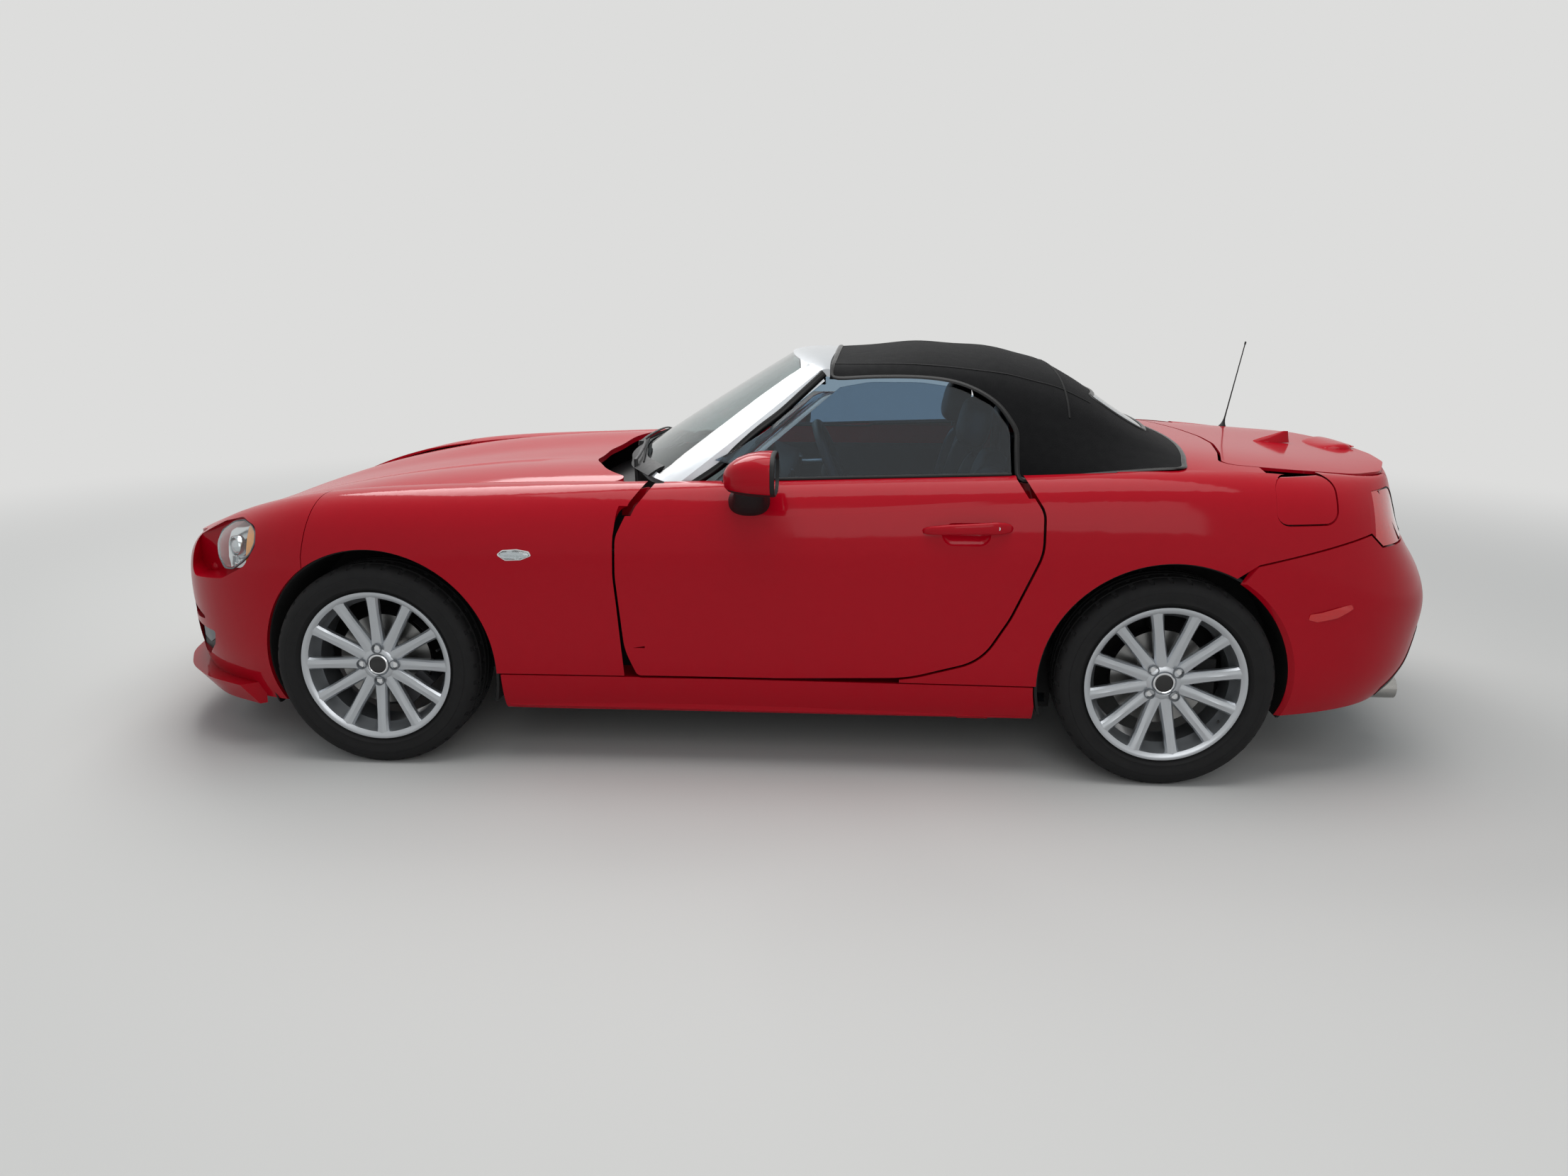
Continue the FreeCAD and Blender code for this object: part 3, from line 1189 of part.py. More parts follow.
# Steering wheel and column
COLUMN_RADIUS = 22.0
COLUMN_TOP = V(205, -370, 828)
COLUMN_AXIS = V(0.92, 0, 0.39)
wheel_ring = Part.makeTorus(175, 15, COLUMN_TOP, COLUMN_AXIS)
hub_disc = Part.makeCylinder(60, 30, COLUMN_TOP - COLUMN_AXIS * 30, COLUMN_AXIS)
steering_wheel = wheel_ring.fuse(hub_disc)
for angle in (-10, 90, 190):
    spoke = Part.makeBox(180, 30, 12, V(0, -15, -6))
    spoke.rotate(V(0, 0, 0), V(0, 0, 1), angle - 90)
    spoke.Placement = FreeCAD.Placement(COLUMN_TOP, FreeCAD.Rotation(V(0, 0, 1), COLUMN_AXIS)).multiply(
        spoke.Placement)
    steering_wheel = steering_wheel.fuse(spoke)
steering_wheel = steering_wheel.fuse(rod(COLUMN_TOP - COLUMN_AXIS * 260, COLUMN_TOP, COLUMN_RADIUS))
save("steering_wheel", [steering_wheel])
bore = rod(COLUMN_TOP - COLUMN_AXIS * 266, COLUMN_TOP, COLUMN_RADIUS + SEAT_GAP)
save("dashboard", [dash.cut(bore)])

os.makedirs("parts", exist_ok=True)
for node, pieces in NODES.items():
    shape = pieces[0] if len(pieces) == 1 else Part.makeCompound(pieces)
    shape.exportStep("parts/" + node + ".step")
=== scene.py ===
"""Looks of a two-seat sports car with a canvas roof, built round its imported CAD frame.

Lengths in the tables are millimetres, with the nose at -X, the tail at +X and the left side at -Y.
Each sub-assembly is a class that builds its own meshes in metres and gives them their finishes.
"""
import logging
import math
from dataclasses import dataclass, field
from enum import Enum
from typing import Callable, Optional, Sequence

import bmesh
import bpy
from mathutils import Matrix, Vector
from mathutils.bvhtree import BVHTree


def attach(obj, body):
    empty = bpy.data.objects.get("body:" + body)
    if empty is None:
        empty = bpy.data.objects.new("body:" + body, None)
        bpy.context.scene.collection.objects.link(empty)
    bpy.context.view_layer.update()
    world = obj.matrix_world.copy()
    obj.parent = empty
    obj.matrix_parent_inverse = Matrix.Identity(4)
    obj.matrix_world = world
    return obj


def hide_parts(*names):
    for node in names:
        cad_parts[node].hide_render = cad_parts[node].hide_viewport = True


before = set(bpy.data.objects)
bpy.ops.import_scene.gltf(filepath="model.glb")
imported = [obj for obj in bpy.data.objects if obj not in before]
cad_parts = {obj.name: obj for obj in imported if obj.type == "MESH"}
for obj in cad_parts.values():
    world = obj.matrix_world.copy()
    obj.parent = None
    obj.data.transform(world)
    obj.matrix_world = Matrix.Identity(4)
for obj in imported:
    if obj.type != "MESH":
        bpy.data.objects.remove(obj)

BMesh = bmesh.types.BMesh
# Rows of two values in millimetres, such as places along an outline
Outline = Sequence[tuple[float, float]]
# Corners of an outline, each with its radius
Corners = Sequence[tuple[float, float, float]]

LOG = logging.getLogger("car")
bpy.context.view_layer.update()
MM = 0.001
# Distance in metres under which points count as one
TINY = 1e-6
QUARTER = math.radians(90)
UP = Vector((0, 0, 1))
DOWN = Vector((0, 0, -1))
AFT = Vector((1, 0, 0))
AHEAD = Vector((-1, 0, 0))


# Helpers for places and colours

def mm(x: float, y: float, z: float) -> Vector:
    """Turn a place in millimetres into metres."""
    return Vector((x * MM, y * MM, z * MM))


def linear(code: str) -> tuple[float, float, float, float]:
    """Turn an sRGB hex colour into linear red, green, blue and an alpha of 1.

    Args:
        code: the colour as six hex digits.

    Returns:
        Linear components, alpha last.
    """
    values = []
    for index in (0, 2, 4):
        share = int(code[index:index + 2], 16) / 255
        values.append(share / 12.92 if share <= 0.04045 else ((share + 0.055) / 1.055) ** 2.4)
    return values[0], values[1], values[2], 1.0


class Side(Enum):
    """Left is the side that the driver sits on."""

    LEFT = -1
    RIGHT = 1

    @property
    def word(self) -> str:
        """Name used in the CAD nodes."""
        return self.name.lower()


# Finishes

def add_node(tree: bpy.types.NodeTree, kind: str, settings: Optional[dict] = None,
             links: Optional[dict] = None) -> bpy.types.Node:
    """Add one shader node with its settings and incoming links.

    Args:
        tree: node tree of the material.
        kind: Blender's node class.
        settings: socket defaults by name, or node properties where no socket has that name.
        links: output sockets by the name or number of the input they feed.

    Returns:
        The new node.
    """
    node = tree.nodes.new(kind)
    for name, value in (settings or {}).items():
        if isinstance(name, int) or name in node.inputs:
            node.inputs[name].default_value = value
        else:
            setattr(node, name, value)
    for name, socket in (links or {}).items():
        tree.links.new(socket, node.inputs[name])
    return node


class Pattern(Enum):
    """Relief or tint drawn on a finish."""

    PEEL = "peel"
    FLAKE = "flake"
    GRAIN = "grain"
    LEATHER = "leather"
    WEAVE = "weave"
    CARPET = "carpet"
    TURNED = "turned"
    RIBS = "ribs"
    PLAIN = "plain"


@dataclass(frozen=True)
class Finish:
    """One real surface finish and the pattern it shows."""

    name: str
    colour: str
    metallic: float = 0.0
    roughness: float = 0.4
    ior: float = 1.5
    specular: float = 0.5
    coat: float = 0.0
    coat_roughness: float = 0.03
    coat_ior: float = 1.36
    sheen: float = 0.0
    clear: float = 0.0
    pattern: Pattern = Pattern.PLAIN
    pitch_mm: float = 1.0
    relief: float = 0.1
    depth_mm: float = 0.2
    tint: str = ""
    tint_share: float = 0.35

    def material(self) -> bpy.types.Material:
        """Return the finish's material, made once."""
        known = bpy.data.materials.get(self.name)
        if known is not None:
            return known
        made = bpy.data.materials.new(self.name)
        made.use_nodes = True
        tree = made.node_tree
        tree.nodes.clear()
        shader = add_node(tree, "ShaderNodeBsdfPrincipled", {
            "Base Color": linear(self.colour),
            "Metallic": self.metallic,
            "Roughness": self.roughness,
            "Specular IOR Level": self.specular,
            "Coat Weight": self.coat,
            "Coat Roughness": self.coat_roughness,
            "Coat IOR": self.coat_ior,
            "Sheen Weight": self.sheen,
            "Transmission Weight": self.clear,
        })
        if self.metallic < 0.5:
            shader.inputs["IOR"].default_value = self.ior
        self.draw_pattern(tree, shader)
        surface = shader.outputs[0]
        if self.clear > 0:
            # Light passes straight through clear walls to what stands behind them
            path = add_node(tree, "ShaderNodeLightPath")
            through = add_node(tree, "ShaderNodeBsdfTransparent", {"Color": linear(self.colour)})
            mix = add_node(tree, "ShaderNodeMixShader", links={
                0: path.outputs["Is Shadow Ray"], 1: surface, 2: through.outputs[0]})
            surface = mix.outputs[0]
        add_node(tree, "ShaderNodeOutputMaterial", links={"Surface": surface})
        return made

    def draw_pattern(self, tree: bpy.types.NodeTree, shader: bpy.types.Node) -> None:
        """Feed relief and a tint from the pattern into the shader.

        Args:
            tree: node tree of the material.
            shader: its principled shader.
        """
        if self.clear > 0:
            return
        if self.pattern is Pattern.PLAIN:
            noise = self.noise(tree, 40.0, 3.0)
            self.rough(tree, shader, noise, 0.04)
            return
        frequency = 1.0 / (self.pitch_mm * MM)
        if self.pattern is Pattern.WEAVE:
            height = self.weave(tree, frequency)
        elif self.pattern is Pattern.LEATHER:
            cells = add_node(tree, "ShaderNodeTexVoronoi", {
                "feature": "DISTANCE_TO_EDGE", "Scale": frequency}, {"Vector": self.place(tree)})
            height = add_node(tree, "ShaderNodeMapRange", {"From Max": 0.12},
                              {"Value": cells.outputs[0]}).outputs[0]
        elif self.pattern is Pattern.RIBS:
            wave = add_node(tree, "ShaderNodeTexWave", {
                "bands_direction": "Z", "Scale": frequency / 20.0 * math.pi}, {"Vector": self.place(tree)})
            height = wave.outputs["Fac"]
        else:
            height = self.noise(tree, frequency, 4.0)
        bump = add_node(tree, "ShaderNodeBump", {"Strength": self.relief, "Distance": self.depth_mm * MM},
                        {"Height": height})
        tree.links.new(bump.outputs[0], shader.inputs["Normal"])
        if self.tint:
            wide = height if self.pattern in (Pattern.WEAVE, Pattern.CARPET, Pattern.LEATHER) else \
                self.noise(tree, frequency / 6.0, 2.0)
            share = add_node(tree, "ShaderNodeMath", {"operation": "MULTIPLY", 1: self.tint_share}, {0: wide})
            mix = add_node(tree, "ShaderNodeMix", {"data_type": "RGBA"})
            mix.inputs[6].default_value = linear(self.colour)
            mix.inputs[7].default_value = linear(self.tint)
            tree.links.new(share.outputs[0], mix.inputs[0])
            tree.links.new(mix.outputs[2], shader.inputs["Base Color"])
        if self.pattern is not Pattern.PEEL:
            self.rough(tree, shader, self.noise(tree, frequency / 10.0, 3.0), 0.08)

    def rough(self, tree: bpy.types.NodeTree, shader: bpy.types.Node, source: bpy.types.NodeSocket,
              swing: float) -> None:
        """Let the roughness wander a little, as handling and wear do."""
        spread = add_node(tree, "ShaderNodeMapRange", {
            "To Min": max(self.roughness - swing, 0.0), "To Max": min(self.roughness + swing, 1.0)},
            {"Value": source})
        tree.links.new(spread.outputs[0], shader.inputs["Roughness"])

    def place(self, tree: bpy.types.NodeTree) -> bpy.types.NodeSocket:
        """Return the coordinates that the pattern lies on."""
        return add_node(tree, "ShaderNodeTexCoord").outputs["Object"]

    def noise(self, tree: bpy.types.NodeTree, scale: float, detail: float) -> bpy.types.NodeSocket:
        """Return a noise value at a scale per metre."""
        return add_node(tree, "ShaderNodeTexNoise", {"Scale": scale, "Detail": detail},
                        {"Vector": self.place(tree)}).outputs["Fac"]

    def weave(self, tree: bpy.types.NodeTree, frequency: float) -> bpy.types.NodeSocket:
        """Return the height of crossing threads on the piece's own map, which is in metres."""
        spot = add_node(tree, "ShaderNodeUVMap", {"uv_map": "cloth"}).outputs[0]
        heights = []
        for direction in ("X", "Y"):
            wave = add_node(tree, "ShaderNodeTexWave", {
                "bands_direction": direction, "Scale": frequency / 20.0 * math.pi, "Distortion": 0.6,
                "Detail": 1.0}, {"Vector": spot})
            heights.append(wave.outputs["Fac"])
        return add_node(tree, "ShaderNodeMath", {"operation": "MULTIPLY"},
                        {0: heights[0], 1: heights[1]}).outputs[0]


# Solid red enamel under clear coat: deep even colour, soft reflections, faint orange peel
BODY_ENAMEL = Finish("red_enamel_clear_coat", "A80018", roughness=0.5, specular=0.03, coat=0.55,
                     coat_roughness=0.08, pattern=Pattern.PEEL, pitch_mm=6.0, relief=0.02, depth_mm=0.05,
                     tint="960014", tint_share=0.3)
# Silver metallic paint on the windscreen surround: fine flake, satin shine
SILVER_PAINT = Finish("silver_metallic_paint", "B9BDC1", metallic=0.55, roughness=0.34, coat=0.6,
                      coat_roughness=0.08, pattern=Pattern.FLAKE, pitch_mm=1.5, relief=0.03, depth_mm=0.03)
# Laminated screen glass, faintly green grey
SCREEN_GLASS = Finish("laminated_screen_glass", "C4D2D2", roughness=0.0, ior=1.5, clear=1.0)
# Tempered side and rear glass, blue grey and darker than the screen
WINDOW_GLASS = Finish("tempered_window_glass", "93AABC", roughness=0.0, ior=1.5, clear=1.0)
# Woven acrylic roof canvas, dull black; its threads are drawn at 2.4 mm so that they show
ROOF_CANVAS = Finish("woven_roof_canvas", "060607", roughness=0.85, specular=0.12, sheen=0.02,
                     pattern=Pattern.WEAVE, pitch_mm=2.4, relief=0.35, depth_mm=0.5, tint="121316",
                     tint_share=0.5)
# Extruded EPDM sealing rubber
SEAL_RUBBER = Finish("extruded_seal_rubber", "08080A", roughness=0.55, specular=0.3, pattern=Pattern.GRAIN,
                     pitch_mm=1.2, relief=0.08, depth_mm=0.05)
# Moulded black polypropylene with a fine pebble grain
MOULDED_BLACK = Finish("moulded_black_polypropylene", "0B0B0D", roughness=0.52, specular=0.3,
                       pattern=Pattern.GRAIN, pitch_mm=1.4, relief=0.18, depth_mm=0.1, tint="121214",
                       tint_share=0.4)
# Glossy extruded rubber along the roof and pillars
GLOSS_RUBBER = Finish("glossy_edge_rubber", "070708", roughness=0.3, specular=0.3, pattern=Pattern.GRAIN,
                      pitch_mm=2.0, relief=0.04, depth_mm=0.04)
# Rubberised tape bonded over the roof's welted seams
ROOF_TAPE = Finish("bonded_seam_tape", "0B0B0C", roughness=0.6, specular=0.2, pattern=Pattern.GRAIN,
                   pitch_mm=1.5, relief=0.15, depth_mm=0.1)
# Silvered half of the tail lamps, ribbed
SMOKED_LENS = Finish("smoked_silver_lens", "9A9C9E", metallic=0.35, roughness=0.12, ior=1.49, coat=1.0,
                     pattern=Pattern.RIBS, pitch_mm=9.0, relief=0.15, depth_mm=0.3, tint="C9CBCC",
                     tint_share=0.6)
# Polished black ABS of screens, vents and caps
GLOSS_BLACK = Finish("gloss_black_abs", "0C0C0D", roughness=0.12, coat=0.4)
# Chrome plate of rings, nuts and the lamp's projector
BRIGHT_CHROME = Finish("bright_chrome_plate", "D8DADC", metallic=1.0, roughness=0.07)
# Painted cast alloy rims: silver lacquer, soft grain in its shine
CAST_ALLOY = Finish("silver_lacquered_cast_alloy", "B4B8BC", metallic=0.85, roughness=0.33, coat=0.5,
                    coat_roughness=0.1, pattern=Pattern.FLAKE, pitch_mm=2.0, relief=0.03, depth_mm=0.04)
# The same alloy painted darker for recesses: painted shade
SHADED_ALLOY = Finish("shaded_cast_alloy", "6D7175", metallic=0.8, roughness=0.45, pattern=Pattern.FLAKE,
                    pitch_mm=2.0, relief=0.05, depth_mm=0.05)
# Machined face of the brake discs
TURNED_STEEL = Finish("turned_disc_steel", "8B8B8A", metallic=1.0, roughness=0.32, pattern=Pattern.TURNED,
                      pitch_mm=3.0, relief=0.05, depth_mm=0.05)
# Rough cast iron of the knuckles and the engine block
RAW_IRON = Finish("raw_cast_iron", "47474A", metallic=0.6, roughness=0.6, pattern=Pattern.GRAIN,
                  pitch_mm=2.5, relief=0.3, depth_mm=0.2)
# Tyre rubber, dull and slightly dusty
TYRE_RUBBER = Finish("road_tyre_rubber", "0F0F10", roughness=0.78, specular=0.3, pattern=Pattern.GRAIN,
                     pitch_mm=3.0, relief=0.12, depth_mm=0.15, tint="171718", tint_share=0.5)
# Sprayed underseal, coarse and matt
UNDERSEAL = Finish("black_underseal", "0B0B0C", roughness=0.85, pattern=Pattern.GRAIN, pitch_mm=5.0,
                   relief=0.5, depth_mm=0.5)
# Clear polycarbonate of headlamps and repeaters
CLEAR_LENS = Finish("clear_polycarbonate_lens", "EDF1F2", roughness=0.02, ior=1.58, clear=1.0)
# Ribbed red acrylic of the tail, brake and marker lamps
RED_LENS = Finish("red_acrylic_lens", "B8060F", roughness=0.06, ior=1.49, coat=1.0, pattern=Pattern.RIBS,
                  pitch_mm=6.0, relief=0.25, depth_mm=0.4, tint="E01515", tint_share=0.5)
# Ribbed amber acrylic of the turn lights
AMBER_LENS = Finish("amber_acrylic_lens", "F08A10", roughness=0.08, ior=1.49, coat=1.0, pattern=Pattern.RIBS,
                    pitch_mm=7.0, relief=0.3, depth_mm=0.4, tint="FFB43A", tint_share=0.6)
# Aluminised reflector inside a lamp
LAMP_MIRROR = Finish("aluminised_lamp_bowl", "D9DCDE", metallic=1.0, roughness=0.12)
# Seat hide: dark blue grey leather with a fine pebble
SEAT_LEATHER = Finish("dark_seat_leather", "14171E", roughness=0.48, pattern=Pattern.LEATHER, pitch_mm=3.0,
                      relief=0.25, depth_mm=0.25, tint="1A1F27", tint_share=0.5)
# Foam-backed skin of the dashboard, console and door cards
DASH_SKIN = Finish("soft_dashboard_skin", "0F1014", roughness=0.62, pattern=Pattern.LEATHER, pitch_mm=2.2,
                   relief=0.2, depth_mm=0.2)
# Short cut-pile carpet, nearly black
FLOOR_CARPET = Finish("cut_pile_carpet", "15151A", roughness=0.95, sheen=0.3, pattern=Pattern.CARPET,
                      pitch_mm=2.5, relief=0.8, depth_mm=1.0, tint="26262C", tint_share=0.7)
# Silvered face of the mirrors
MIRROR_GLASS = Finish("silvered_mirror_glass", "E6E9EA", metallic=1.0, roughness=0.02)
# White number plate with nothing on it
BLANK_PLATE = Finish("blank_pressed_plate", "E3E4E2", roughness=0.45, pattern=Pattern.GRAIN, pitch_mm=4.0,
                     relief=0.03)
# Stainless exhaust, brushed
EXHAUST_STEEL = Finish("brushed_exhaust_steel", "A9A8A5", metallic=1.0, roughness=0.25,
                       pattern=Pattern.GRAIN, pitch_mm=1.0, relief=0.06)

# Finish of each CAD node that has one of its own, by the words of its name; the rest is moulded black
NODE_FINISHES: tuple[tuple[Finish, str], ...] = (
    (BODY_ENAMEL, "sills front_wings rear_quarters rear_deck front_bumper rear_bumper hood trunk_lid fuel_door "
                  "door_left door_right mirror_left mirror_right"),
    (UNDERSEAL, "underbody front_structure firewall rear_structure front_suspension rear_suspension"),
    (EXHAUST_STEEL, "exhaust"),
    (RAW_IRON, "engine_block knuckle_left knuckle_right"),
    (LAMP_MIRROR, "headlamps"),
    (RED_LENS, "tail_lamps"),
    (SILVER_PAINT, "windshield_frame"),
    (SCREEN_GLASS, "windshield"),
    (WINDOW_GLASS, "rear_window door_glass_left door_glass_right"),
    (DASH_SKIN, "dashboard steering_wheel"),
    (SEAT_LEATHER, "seats"),
    (TYRE_RUBBER, "tyre_front_left tyre_front_right tyre_rear_left tyre_rear_right"),
    (CAST_ALLOY, "wheel_front_left wheel_front_right wheel_rear_left wheel_rear_right"),
    (TURNED_STEEL, "brake_disc_front_left brake_disc_front_right brake_disc_rear_left brake_disc_rear_right"))


# Mesh helpers

def hard_edges(bm: BMesh, angle: float = 32.0) -> None:
    """Shade a mesh smooth, with creases where faces meet at more than an angle in degrees."""
    bm.normal_update()
    for face in bm.faces:
        face.smooth = True
    for edge in bm.edges:
        if len(edge.link_faces) == 2:
            edge.smooth = edge.calc_face_angle(0.0) < math.radians(angle)


def make_piece(name: str, bm: BMesh, finishes: Sequence[Finish], body: str,
               angle: float = 32.0, recalc: bool = True) -> bpy.types.Object:
    """Turn a bmesh into a piece that rides on a body.

    Args:
        name: name of the piece.
        bm: mesh in metres, in the car's frame; freed here.
        finishes: finishes by material index.
        body: body that it rides on.
        angle: crease angle in degrees.
        recalc: whether the normals are worked out again.

    Returns:
        The piece's object.
    """
    if recalc:
        bmesh.ops.recalc_face_normals(bm, faces=bm.faces[:])
    hard_edges(bm, angle)
    mesh = bpy.data.meshes.new(name)
    bm.to_mesh(mesh)
    bm.free()
    for finish in finishes:
        mesh.materials.append(finish.material())
    piece = bpy.data.objects.new(name, mesh)
    bpy.context.scene.collection.objects.link(piece)
    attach(piece, body)
    LOG.info("piece %s rides on %s", name, body)
    return piece


def on_body(name: str, bm: BMesh, finish: Finish, angle: float = 40) -> None:
    """Turn a mesh into a piece that rides on the body, in one finish."""
    make_piece(name, bm, [finish], "body", angle)


def basis(origin: Vector, forward: Vector, up: Vector) -> Matrix:
    """Frame at a place whose Z points forward and whose Y leans to up."""
    z = forward.normalized()
    x = up.cross(z)
    if x.length < 1e-6:
        x = z.orthogonal()
    x.normalize()
    y = z.cross(x)
    return Matrix((
        (x.x, y.x, z.x, origin.x), (x.y, y.y, z.y, origin.y), (x.z, y.z, z.z, origin.z), (0, 0, 0, 1)))


def spline(points: Sequence[Vector], t: float) -> Vector:
    """Return the place at t on a soft curve through points, t counting the points."""
    index = max(0, min(int(t), len(points) - 2))
    f = t - index
    p1, p2 = points[index], points[index + 1]
    p0 = points[index - 1] if index else p1
    p3 = points[index + 2] if index + 2 < len(points) else p2
    return 0.5 * (2 * p1 + (p2 - p0) * f + (2 * p0 - 5 * p1 + 4 * p2 - p3) * f * f
                  + (3 * p1 - p0 - 3 * p2 + p3) * f * f * f)


def smooth_path(points: Sequence[Vector], steps: int) -> list[Vector]:
    """Return a soft curve through points, with some steps between neighbours."""
    if steps <= 1 or len(points) < 3:
        return list(points)
    return [spline(points, index / steps) for index in range((len(points) - 1) * steps)] + [points[-1]]


def sweep(bm: BMesh, path: Sequence[Vector], width: float, height: float, up: Vector,
          segments: int = 8, closed: bool = False, taper: Optional[Callable[[float], float]] = None,
          ups: Optional[Sequence[Vector]] = None) -> None:
    """Sweep an oval section along a path by extruding its ring.

    Args:
        bm: mesh to add to.
        path: points of the path, in metres.
        width: full width across, in metres.
        height: full height along up, in metres.
        up: direction that the section's height leans to.
        segments: points of the section.
        closed: whether the path comes back to its start.
        taper: size factor by share of the path.
        ups: up direction at each point, in place of one for all.
    """
    keep = [i for i, point in enumerate(path) if not i or (point - path[i - 1]).length > 1e-5]
    if closed and (path[keep[0]] - path[keep[-1]]).length < 1e-5:
        keep.pop()
    if ups is not None:
        ups = [ups[i] for i in keep]
    path = [path[i] for i in keep]
    count = len(path)
    frames = []
    for index, point in enumerate(path):
        before = path[index - 1] if index or closed else point
        after = path[(index + 1) % count] if index < count - 1 or closed else point
        lean = ups[index] if ups is not None else up
        size = taper(index / (count - 1)) if taper else 1.0
        place = basis(point, after - before, lean)
        frames.append(place @ Matrix.Diagonal((width / 2 * size, height / 2 * size, 1.0, 1.0)))
    made = bmesh.ops.create_circle(bm, cap_ends=False, segments=segments, radius=1.0, matrix=frames[0])
    edges = list({edge for vert in made["verts"] for edge in vert.link_edges})
    first_edges = list(edges)
    for index in range(1, count):
        step = bmesh.ops.extrude_edge_only(bm, edges=edges)
        verts = [item for item in step["geom"] if isinstance(item, bmesh.types.BMVert)]
        edges = [item for item in step["geom"] if isinstance(item, bmesh.types.BMEdge)]
        edges = [edge for edge in edges if edge.verts[0] in set(verts) and edge.verts[1] in set(verts)]
        bmesh.ops.transform(bm, matrix=frames[index] @ frames[index - 1].inverted(), verts=verts)
    if closed:
        bmesh.ops.bridge_loops(bm, edges=first_edges + edges)
    else:
        bmesh.ops.contextual_create(bm, geom=first_edges)
        bmesh.ops.contextual_create(bm, geom=edges)


def outline_slab(bm: BMesh, corners: Sequence[Vector], depth: Vector,
                 bevel: float = 0.0) -> None:
    """Raise a slab from a flat outline and round its edges.

    Args:
        bm: mesh to add to.
        corners: outline in order.
        depth: extrusion of the face.
        bevel: edge radius in metres.
    """
    verts = [bm.verts.new(corner) for corner in corners]
    face = bm.faces.new(verts)
    made = bmesh.ops.extrude_face_region(bm, geom=[face], use_keep_orig=True)
    moved = [item for item in made["geom"] if isinstance(item, bmesh.types.BMVert)]
    bmesh.ops.translate(bm, vec=depth, verts=moved)
    if bevel > 0:
        pool = set(verts) | set(moved)
        faces = [f for f in bm.faces if all(v in pool for v in f.verts)]
        edges = list({edge for f in faces for edge in f.edges})
        bmesh.ops.bevel(bm, geom=edges, offset=bevel, segments=2, affect="EDGES", profile=0.5, material=-1)


def rounded_outline(corners: Corners, steps: int = 6) -> list[tuple[float, float]]:
    """Round the corners of a flat outline.

    Args:
        corners: rows of a, b and corner radius, in millimetres.
        steps: points in each rounded corner.

    Returns:
        Points in millimetres.
    """
    result = []
    count = len(corners)
    for index, (a, b, radius) in enumerate(corners):
        here = Vector((a, b))
        back = Vector(corners[index - 1][:2]) - here
        ahead = Vector(corners[(index + 1) % count][:2]) - here
        half = back.angle(ahead) / 2
        if radius <= 0 or half > 1.56:
            result.append((a, b))
            continue
        reach = min(radius / math.tan(half), 0.48 * back.length, 0.48 * ahead.length)
        start = here + back.normalized() * reach
        end = here + ahead.normalized() * reach
        for step in range(steps + 1):
            t = step / steps
            point = start * (1 - t) ** 2 + here * 2 * t * (1 - t) + end * t * t
            if not result or (point - Vector(result[-1])).length > 0.2:
                result.append((point.x, point.y))
    if (Vector(result[0]) - Vector(result[-1])).length < 0.2:
        result.pop()
    return result


class Skin:
    """Outer surface of some CAD nodes, for seating pieces on."""

    def __init__(self, *nodes: str) -> None:
        """Gather the nodes' triangles into one search tree."""
        verts: list[Vector] = []
        faces: list[tuple[int, ...]] = []
        for node in nodes:
            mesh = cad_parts[node].data
            base = len(verts)
            verts.extend(vertex.co.copy() for vertex in mesh.vertices)
            faces.extend(tuple(base + index for index in polygon.vertices) for polygon in mesh.polygons)
        self.tree = BVHTree.FromPolygons(verts, faces)

    def hit(self, start: Vector, direction: Vector) -> Optional[tuple[Vector, Vector]]:
        """Return the first place and outward normal met from a start along a direction."""
        place, normal, _, _ = self.tree.ray_cast(start, direction.normalized())
        if place is None:
            return None
        if normal.dot(direction) > 0:
            normal = -normal
        return place, normal

    def side(self, x: float, z: float, side: Side, lift: float = 0.0) -> tuple[Vector, Vector]:
        """Return the place and normal on the flank at x and z millimetres, lifted off by metres."""
        found = self.hit(mm(x, side.value * 1400, z), Vector((0, -side.value, 0)))
        if found is None:
            place, normal, _, _ = self.tree.find_nearest(mm(x, side.value * 860, z))
            found = (place, Vector((0, side.value, 0)))
        return found[0] + found[1] * lift, found[1]

    def top(self, x: float, y: float, lift: float = 0.0) -> tuple[Vector, Vector]:
        """Return the place and normal on top at x and y millimetres, lifted off by metres."""
        found = self.hit(mm(x, y, 1600), DOWN)
        if found is None:
            place, normal, _, _ = self.tree.find_nearest(mm(x, y, 900))
            found = (place, UP)
        return found[0] + found[1] * lift, found[1]


# Road wheels

